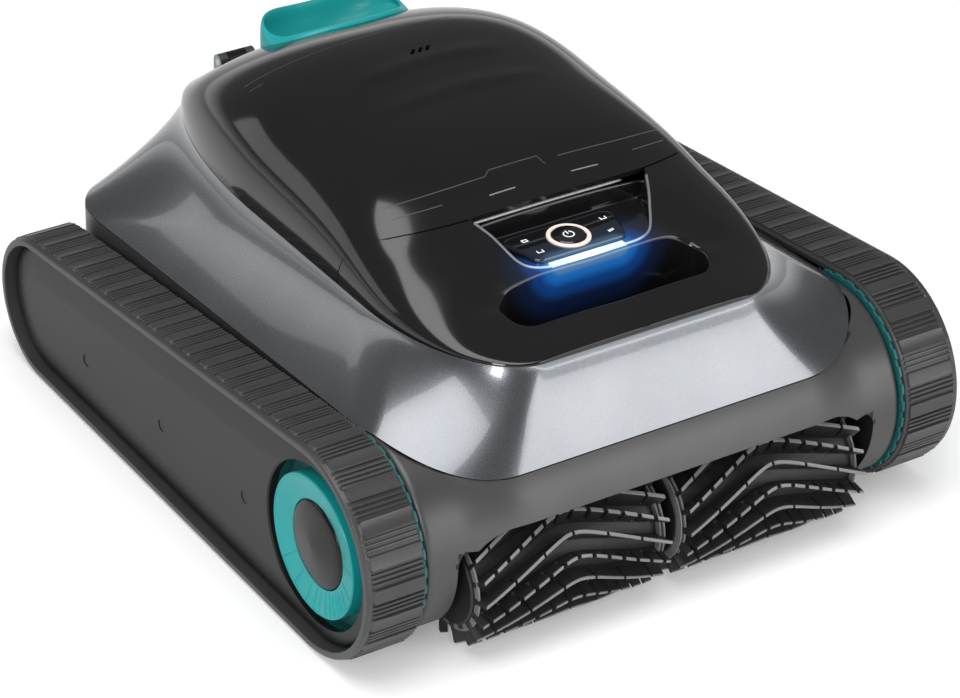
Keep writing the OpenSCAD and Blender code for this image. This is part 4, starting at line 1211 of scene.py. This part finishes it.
def beltSection(depth):
    # the belt's section: inner edge, over the pads, round the outer edge and back inside
    look = beltLook
    band, thick, outer, inner = look["band"], look["thick"], halfWidth, beltInner
    return [(inner, thick), (inner, 3.2), (inner + 0.5, 2.4), (inner + 1.1, max(depth, 1.9)),
            (inner + 1.5, depth), ((inner + outer) / 2, depth), (outer - 5.4, depth),
            (outer - 4.4, depth + 0.12), (outer - 3.7, mix(depth, band, 0.8)),
            (outer - look["bandFrom"], band), (outer - 1.6, band + 0.05), (outer - 0.7, band + 0.3),
            (outer - 0.2, band + 0.8), (outer, band + 1.5), (outer, thick - 0.5), (outer - 0.4, thick)]


def makeBelt(side, name):
    look = beltLook
    stations = treadStations()
    count, total = len(stations), len(stations) * look["treads"]
    pitch = beltLoop / look["treads"]
    sections = [beltSection(depth) for _, depth, _ in stations]
    size = len(sections[0])

    def where(u, w):
        k = ringIndex(u, total)
        at, _, centre = stations[k % count]
        x, depth = sections[k % count][ringIndex(w, size)]
        if halfWidth - 5.5 < x and depth < look["band"]:
            # the ends of pads and ribs slant towards the smooth outer band
            at = mix(at, centre, 0.4 * clamp((x - halfWidth + 5.5) / 1.8))
        y, z = beltAt((k // count + at) * pitch, depth)
        return side * x, y, z

    asPiece("belt" + name, sheetGrid(total, size, where), [finish["beltRubber"]], "root",
            ["belt_" + name.lower()], look["crease"])


for side, name in bothSides:
    makeBelt(side, name)
print("belts made")


# side covers

# each ring of a cover: how far inside the belt line, and how far in from the machine's side
coverLook = {"rings": ((31.5, 4.5), (30, 4.52), (28, 4.65), (13, 6.2), (11, 6.5), (9.2, 6.9), (8.2, 7.4),
                       (7.6, 8.2), (7.4, 9.5)),
             "steps": 240, "hole": 51.4, "screwHead": 4.08, "screwBore": 2.1, "crease": 30}


def makeCover(side, name):
    look = coverLook
    rings, steps, hole, head, bore = pick(look, "rings", "steps", "hole", "screwHead", "screwBore")

    def where(u, w):
        depth, back = rowAt(rings, w)
        return (side * (halfWidth - back), *beltAt(beltLoop * ringIndex(u, steps) / steps, depth))

    bm = sheetGrid(steps, len(rings) - 1, where)
    closeEnds(bm)
    piece = asPiece("sideCover" + name, bm, [finish["coverMatte"]], "root",
                    ["side_cover_" + name.lower()], look["crease"])
    holes = bmesh.new()
    inside, outside = halfWidth - 12, halfWidth - 3
    spinProfile(holes, [(0, inside), (hole, inside), (hole, outside - 2.4), (hole + 0.5, outside - 1.9),
                        (hole + 3, outside), (0, outside)], (frontY, frontR), 128)
    frameFront, frameRear = low("track_frame_right").y, high("track_frame_right").y
    for y, z in ((frameFront + 8, 56), ((frameFront + frameRear) / 2 + 1.5, 50), (frameRear - 8, 44)):
        spinProfile(holes, [(0, inside), (bore, inside), (bore, outside - 3.5), (head, outside - 3.5),
                            (head, outside), (0, outside)], (y, z), 40)
    if side < 0:
        mirrorToLeft(holes)
    cutAway(piece, holes, look["crease"])


for side, name in bothSides:
    makeCover(side, name)
print("side covers made")


# hub rings with radial folds, and hub caps

hubLook = {"inner": 27.6, "outer": 44, "folds": 288, "foldRise": 0.8, "capR": 27.2,
           "cuts": (200, 212, 221, 228, 236, 243, 252, 262, 270, 281, 96, 118, 158, 174, 300, 322)}


def foldRise(angle, r):
    # shallow facets between radial cuts, each rising to a small step
    cuts = sorted(hubLook["cuts"])
    k = sum(1 for cut in cuts if cut <= angle) % len(cuts)
    start, end = cuts[k - 1], cuts[k]
    span = (end - start) % 360
    t = ((angle - start) % 360) / span
    return hubLook["foldRise"] * t * smooth((r - 27) / 6)


def makeHubRing(side, name):
    look = hubLook
    back, face = beltInner + 20, halfWidth
    profile = [(look["inner"], back), (look["outer"], back), (look["outer"], face - 4.8), (43.6, face - 4.2),
               (43, face - 4.0), (42.2, face - 4.25), (38, face - 5.2), (33, face - 6.3), (29.5, face - 7.2),
               (28.4, face - 7.5), (look["inner"], face - 7.6)]

    def where(u, w):
        r, x = ringAt(profile, w)
        angle = 360 * ringIndex(u, look["folds"]) / look["folds"]
        if 29 < r < 43 and x > face - 8:
            x -= foldRise(angle, r)
        turn = radians(angle)
        return side * x, frontY + r * cos(turn), frontR + r * sin(turn)

    asPiece("hubRing" + name, sheetGrid(look["folds"], len(profile), where), [finish["teal"]],
            "drive_wheel_" + name.lower(), ["hub_ring_" + name.lower()], 8)


def makeHubCap(side, name):
    face, r = halfWidth, hubLook["capR"]
    dome = [(r, face - 8.2), (r - 0.3, face - 7.4), (r - 1.2, face - 6.6), (r - 2.6, face - 6.05)]
    dome += [(at, face - 6.05 + 2.95 * (1 - (at / (r - 2.6)) ** 1.35)) for at in (20, 15, 10, 6, 3, 1)]
    bore, back = 11.5, beltInner + 20
    bm = bmesh.new()
    spinProfile(bm, [(0, back + 9), (bore, back + 9), (bore, back), (r, back)] + dome + [(0, face - 3.05)],
                (frontY, frontR), 128)
    if side < 0:
        mirrorToLeft(bm)
    asPiece("hubCap" + name, bm, [finish["capGloss"]], "drive_wheel_" + name.lower(),
            ["hub_cap_" + name.lower()], 30)


for side, name in bothSides:
    makeHubRing(side, name)
    makeHubCap(side, name)
print("hubs made")


# brushes: a drum with wavy slit blades

brushLook = {"blades": 18, "drumR": 28.5, "rootR": 31.2, "end": 10.5, "swing": 37, "crest": 0.13,
             "halfThick": 1.25, "long": {"count": 6, "gap": 1.6}, "short": {"count": 13, "gap": 2.8},
             "tip": 0.7, "lean": 3}
brushEnd = bodyLook["tunnelEnd"] - brushLook["end"]


def bladeAt(x, r, off, start):
    # a point on a blade: place x along the brush, radius r, off its middle surface by off
    crest, across = brushLook["crest"], 2 * (x - 5) / (brushEnd - 5) - 1
    bend = (hypot(across, crest) - hypot(1, crest)) / (hypot(1, crest) - crest)
    angle = start + radians(brushLook["swing"] * bend)
    angle -= radians(brushLook["lean"]) * ((r - brushLook["drumR"]) / 13) ** 2
    return x, brushY + r * cos(angle) - off * sin(angle), brushZ + r * sin(angle) + off * cos(angle)


def addStrip(bm, x0, x1, section, start, step):
    # a strip of blade from x0 to x1 with closed ends; section holds (r, offset) all round
    cuts = max(1, round((x1 - x0) / step))
    size = len(section)
    middleR = sum(r for r, _ in section) / size

    def where(u, w):
        k = round(w * (cuts + 2)) - 1
        x = mix(x0, x1, clamp(k / cuts))
        if k in (-1, cuts + 1):
            return bladeAt(x, middleR, 0, start)
        r, off = ringAt(section, u)
        return bladeAt(x, r, off, start)

    addSheet(bm, size, cuts + 2, where)


def makeBlades(side, name):
    look = brushLook
    thick, drum, root = look["halfThick"], look["drumR"], look["rootR"]
    first, last = 6, brushEnd - 1       # where the blades start and end
    rootSection = [(drum - 0.5, -1.5), (root - 1.2, -thick - 0.15), (root, -thick), (root, thick),
                   (root - 1.2, thick + 0.15), (drum - 0.5, 1.5)]
    tip = brushR - look["tip"]
    bladeSection = [(root - 0.3, -thick), (tip - 1, -thick + 0.05), (tip, -thick + 0.1),
                    (brushR, -thick + 0.35), (brushR, thick - 0.35), (tip, thick - 0.1),
                    (tip - 1, thick - 0.05), (root - 0.3, thick)]
    bm = bmesh.new()
    for i in range(look["blades"]):
        start = 2 * pi * i / look["blades"]
        addStrip(bm, first, last, rootSection, start, 4)
        cut = look["long"] if i % 2 else look["short"]
        pitch = (last - first) / cut["count"]
        shift = 0.5 if i % 4 > 1 else 0
        for k in range(cut["count"] + (1 if shift else 0)):
            x0 = max(first, first + (k - shift) * pitch + cut["gap"] / 2)
            x1 = min(last, first + (k + 1 - shift) * pitch - cut["gap"] / 2)
            addStrip(bm, x0, x1, bladeSection, start, 3.6)
    if side < 0:
        mirrorToLeft(bm)
    piece = asPiece("brushBlades" + name, bm, [finish["brushRubber"], finish["brushTips"]],
                    "brush_" + name.lower(), ["brush_blades_" + name.lower()], 35)
    # the outer faces are lighter grey
    places = [v.co / mm for v in piece.data.vertices]
    for face in piece.data.polygons:
        if min(hypot(places[v].y - brushY, places[v].z - brushZ) for v in face.vertices) > tip - 0.2:
            face.material_index = 1


def makeDrum(side, name):
    drum, axis, end = brushLook["drumR"], (brushY, brushZ), bodyLook["tunnelEnd"] + 8.5
    drumForm = bmesh.new()
    spinProfile(drumForm, [(0, 5), (drum - 1, 5), (drum, 6), (drum, brushEnd - 1), (drum - 1, brushEnd),
                           (5.4, brushEnd), (5, brushEnd + 1), (5, end), (0, end)], axis, 96)
    spinProfile(drumForm, [(0, 1), (4, 1), (4, 5.2), (0, 5.2)], axis, 48)
    rings = bmesh.new()
    for x in (5.6, 8.4, brushEnd - 3.4):
        spinProfile(rings, [(drum - 0.4, x), (drum + 4.2, x), (drum + 4.6, x + 0.5), (drum + 4.2, x + 1.1),
                            (drum - 0.4, x + 1.1), (drum - 0.4, x)], axis, 96)
    if side < 0:
        mirrorToLeft(drumForm)
        mirrorToLeft(rings)
    asPiece("brushCore" + name, drumForm, [finish["brushRubber"]], "brush_" + name.lower(),
            ["brush_core_" + name.lower()], 30)
    asPiece("brushRings" + name, rings, [finish["brushTips"]], "brush_" + name.lower(), (),
            30)


for side, name in bothSides:
    makeBlades(side, name)
    makeDrum(side, name)
print("brushes made")


# the panel in the hollow, with the ring round its button, its marks and the light bar

panelLook = {"half": (27, 33), "corner": 6, "halfLong": 15.5, "thick": 8, "hole": 13.7, "steps": 96,
             "edge": ((0, 1.5), (0.25, 0.7), (0.9, 0.15), (1.6, 0), (3, 0))}


def roundedPath(corners, r, steps=8):
    # a convex outline with its corners rounded outwards by r
    path = []
    count = len(corners)
    for k in range(count):
        (ax, ay), (bx, by), (cx, cy) = corners[k - 1], corners[k], corners[(k + 1) % count]
        first = atan2(by - ay, bx - ax) - pi / 2
        second = atan2(cy - by, cx - bx) - pi / 2
        turn = (second - first) % (2 * pi)
        for j in range(steps + 1):
            angle = first + turn * j / steps
            path.append((bx + r * cos(angle), by + r * sin(angle)))
    return path


def raisedPlate(bm, path, levels):
    # a plate from an outline: each level is (inset from the outline, z); both ends are closed
    count = len(path)
    cx = sum(x for x, _ in path) / count
    cy = sum(y for _, y in path) / count

    def where(u, w):
        x, y = ringAt(path, u)
        inset, z = rowAt(levels, w)
        away = hypot(x - cx, y - cy)
        return mix(x, cx, inset / away), mix(y, cy, inset / away), z

    addSheet(bm, count, len(levels) - 1, where)
    closeEnds(bm)


def makePanel():
    look = panelLook
    (near, far), r, half = look["half"], look["corner"], look["halfLong"]
    frontSide, rearSide = panelY + r - half, panelY + half - r
    path = roundedPath([(-near, frontSide), (near, frontSide), (far, rearSide), (-far, rearSide)], r)
    bm = bmesh.new()
    levels = [(inset, panelZ - drop) for inset, drop in look["edge"]]
    raisedPlate(bm, path, [(0, panelZ - look["thick"])] + levels)
    piece = asPiece("controlPanel", bm, [finish["panelGlow"]], "root", ["control_panel"], 30)
    hole = bmesh.new()
    angles = [2 * pi * k / look["steps"] for k in range(look["steps"])]
    circle = [(look["hole"] * cos(angle), panelY + look["hole"] * sin(angle)) for angle in angles]
    raisedPlate(hole, circle, [(0, panelZ - 12), (0, panelZ + 4)])
    cutAway(piece, hole, crease=30)


# section of the ring as (radius from the button's edge, height over the panel)
ringLook = {"steps": 96, "section": ((0.3, -8), (0.3, 0.7), (0.7, 1.1), (2.5, 1.1), (2.9, 0.7), (2.9, -8))}


def makeButtonRing():
    section, steps = ringLook["section"], ringLook["steps"]
    buttonR = high("power_button").x

    def where(u, w):
        r, z = ringAt(section, w)
        angle = 2 * pi * ringIndex(u, steps) / steps
        return (buttonR + r) * cos(angle), panelY + (buttonR + r) * sin(angle), panelZ + z

    ring = bmesh.new()
    addSheet(ring, steps, len(section), where)
    asPiece("buttonRing", ring, [finish["roseMetalGlow"]], "root", ["button_ring"], 40)


# the power mark is a broken ring and a bar; each other mark is at (x, y from the panel's middle)
# and made of bars (from x, from y, to x, to y)
markLook = {
    "rise": 0.12, "sink": 0.3,
    "ring": {"inner": 2.9, "outer": 3.6, "start": 118, "end": 422, "steps": 24},
    "bar": (-0.35, 0.6, 0.35, 4.1),
    "marks": (
        ((-25.8, 8.0), ((-1.9, -1.4, 1.9, -0.8), (-1.9, 0.8, 1.9, 1.4), (-1.9, -1.4, -1.3, 1.4),
                        (1.3, -1.4, 1.9, 1.4))),
        ((-24.5, -6.6), ((-2.1, -1.5, 2.1, -0.9), (-2.1, -1.5, -1.5, 1.3), (1.5, -1.5, 2.1, 1.3))),
        ((29.6, 7.8), ((-2.1, -1.5, 2.1, -0.9), (-2.1, -1.5, -1.5, 1.3), (1.5, -1.5, 2.1, 1.3))),
        ((25.8, -6.8), ((-2.1, -1.3, -1.2, 0.9), (-0.6, -0.8, 0.3, 1.2), (0.9, -0.3, 1.8, 1.5))))}


def addBar(bm, x, y, bar, z):
    x0, y0, x1, y1 = bar
    addBox(bm, (x + x0, y + y0, z - markLook["sink"]), (x + x1, y + y1, z + markLook["rise"]))


def addBrokenRing(bm, look, z):
    inner, outer, steps = look["inner"], look["outer"], look["steps"]
    bottom, top = z - markLook["sink"], z + markLook["rise"]
    section = [(inner, bottom), (outer, bottom), (outer, top), (inner, top)]

    def where(u, w):
        k = round(w * (steps + 2)) - 1
        angle = radians(mix(look["start"], look["end"], clamp(k / steps)))
        if k in (-1, steps + 1):
            r, z = (inner + outer) / 2, (bottom + top) / 2
        else:
            r, z = ringAt(section, u)
        return r * cos(angle), panelY + r * sin(angle), z

    addSheet(bm, 4, steps + 2, where)


def makeMarks():
    look = markLook
    power = bmesh.new()
    face = high("power_button").z - 0.2
    addBrokenRing(power, look["ring"], face)
    addBar(power, 0, panelY, look["bar"], face)
    asPiece("powerMark", power, [finish["iconWhiteGlow"]], "power_button", (), 40)
    marks = bmesh.new()
    for (x, y), bars in look["marks"]:
        for bar in bars:
            addBar(marks, x, panelY + y, bar, panelZ)
    asPiece("panelMarks", marks, [finish["iconWhiteGlow"]], "root", (), 40)


# section of the bar as (y, z) from the middle of its top; heights of one rib
barLook = {"half": 26, "ribs": 41, "heights": (0.0, 0.35, 0.5, 0.35),
           "section": ((-2.25, -1.2), (-2.25, 0), (-1.75, 0.5), (1.75, 0.5), (2.25, 0), (2.25, -1.2))}


def makeLightBar():
    # a lens with fine cross ribs
    half, ribs, heights, section = pick(barLook, "half", "ribs", "heights", "section")
    steps = ribs * len(heights)

    def where(u, w):
        k = round(w * steps)
        y, z = ringAt(section, u)
        lift = heights[k % len(heights)] - 0.5 if z > 0 else 0
        return mix(-half, half, k / steps), barY + y, barZ + z + lift - 0.02

    bm = sheetGrid(len(section), steps, where)
    closeEnds(bm)
    asPiece("lightBar", bm, [finish["barLight"]], "root", ["light_bar"], 20)


makePanel()
makeButtonRing()
makeMarks()
makeLightBar()
print("panel, ring, marks and light bar made")


# fine lines on the lid and its lip

# fine lines run from x to x at y, and bridges join two of them; glints are short bright strokes
lineFront, lineRear = lidEdge + 23, outletY - 62
linesLook = {
    "width": 0.45, "rise": 0.12, "bow": 10,
    "runs": ((-94, -30, lineFront), (-25, 9, lineFront + 3.4), (22, 104, lineFront),
             (-95, -64, lidEdge + 14), (72, 100, lidEdge + 14), (-97, 46, lineRear),
             (-98, -90, lineRear - 9)),
    "bridges": (((-30, lineFront), (-25, lineFront + 3.4)), ((9, lineFront + 3.4), (11, lineFront - 3))),
    "glints": ((-34, -16), (24, 43)), "glintY": lineFront - 12, "glintWidth": 0.6, "glintRise": 0.2}


def addLine(bm, points, width, rise):
    # a thin raised line on the roof through points (x, y)
    steps = len(points) - 1
    section = ((0.5, -0.4), (-0.5, -0.4), (-0.5, rise), (0.5, rise))

    def where(u, w):
        k = round(w * steps)
        outX, outY = normalTo(points[max(0, k - 1)], points[min(steps, k + 1)])
        side, lift = ringAt(section, u)
        x, y = points[k][0] + outX * side * width, points[k][1] + outY * side * width
        return x, y, roofZ(x, y) + ridgeRise(x, y) + lift

    addSheet(bm, 4, steps, where)
    closeEnds(bm)


def runAlong(x0, x1, y, bow):
    # points from x0 to x1, bowed back towards the sides
    count = max(2, round(abs(x1 - x0) / 3))
    places = [mix(x0, x1, k / count) for k in range(count + 1)]
    return [(x, y + bow * (x / 100) ** 4) for x in places]


def makeLidLines():
    look = linesLook
    lines = bmesh.new()
    for x0, x1, y in look["runs"]:
        addLine(lines, runAlong(x0, x1, y, look["bow"]), look["width"], look["rise"])
    for bridge in look["bridges"]:
        addLine(lines, bridge, look["width"], look["rise"])
    asPiece("lidLines", lines, [finish["fineLine"]], "lid", (), 40)
    # the glints are pale strokes painted as highlights on the lid
    glints = bmesh.new()
    for x0, x1 in look["glints"]:
        addLine(glints, runAlong(x0, x1, look["glintY"], 0), look["glintWidth"], look["glintRise"])
    asPiece("lidGlints", glints, [finish["paintedHighlight"]], "lid", (), 40)


lipLook = {"half": 55, "steps": 44, "sides": 10, "r": 0.9, "back": 0.9, "ahead": 0.6, "drop": 4.2}


def makeLidLip():
    # a thin bright bead under the lid's front edge, over the hollow, painted as the highlight on that edge
    look = lipLook
    half = look["half"]

    def where(u, w):
        x = mix(-half, half, w)
        angle = 2 * pi * ringIndex(u, look["sides"]) / look["sides"]
        r = look["r"] * quarter((abs(x) / half) ** 8)
        y = edgeY(x) + look["back"]
        return x, y - look["ahead"] + r * cos(angle), roofZ(x, y) - look["drop"] + r * sin(angle)

    asPiece("lidLip", sheetGrid(look["sides"], look["steps"], where), [finish["paintedHighlight"]], "lid", (),
            60)


makeLidLines()
makeLidLip()
print("lid lines made")


# finishes of the CAD parts that are shown as they are

dressing = {
    "panelGlass": ("power_button",),
    "shellMetal": ("hinge_brackets",),
    "boardGreen": ("control_board",),
    "sealRubber": ("lid_seal", "intake_flap_left", "intake_flap_right", "port_cap"),
    "blackPlastic": ("lid_catch", "outlet_grille", "outlet_duct", "intake_frame", "brush_hanger",
                     "charging_port", "track_frame_left", "track_frame_right", "idler_wheel_left",
                     "idler_wheel_right"),
    "greyPlastic": ("basket_frame", "propeller"),
    "meshWeave": ("basket_mesh",),
    "teal": ("basket_handle",),
    "tealDeep": ("drive_sprocket_left", "drive_sprocket_right"),
    "turnedSteel": ("hinge_pins", "pump_shaft", "flap_pin", "drive_axle_left", "drive_axle_right",
                    "idler_axles"),
    "motorCan": ("pump_motor", "drive_motor_left", "drive_motor_right"),
    "bronze": ("drive_bearings",),
    "gearNylon": ("motor_pinion_left", "motor_pinion_right", "brush_drive_gear_left",
                  "brush_drive_gear_right"),
    "batteryWrap": ("battery_pack",),
    "coverMatte": ("cover_screws",),
}
for name, dressed in dressing.items():
    for node in dressed:
        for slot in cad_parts[node].material_slots:
            slot.material = finish[name]
print("CAD parts dressed")
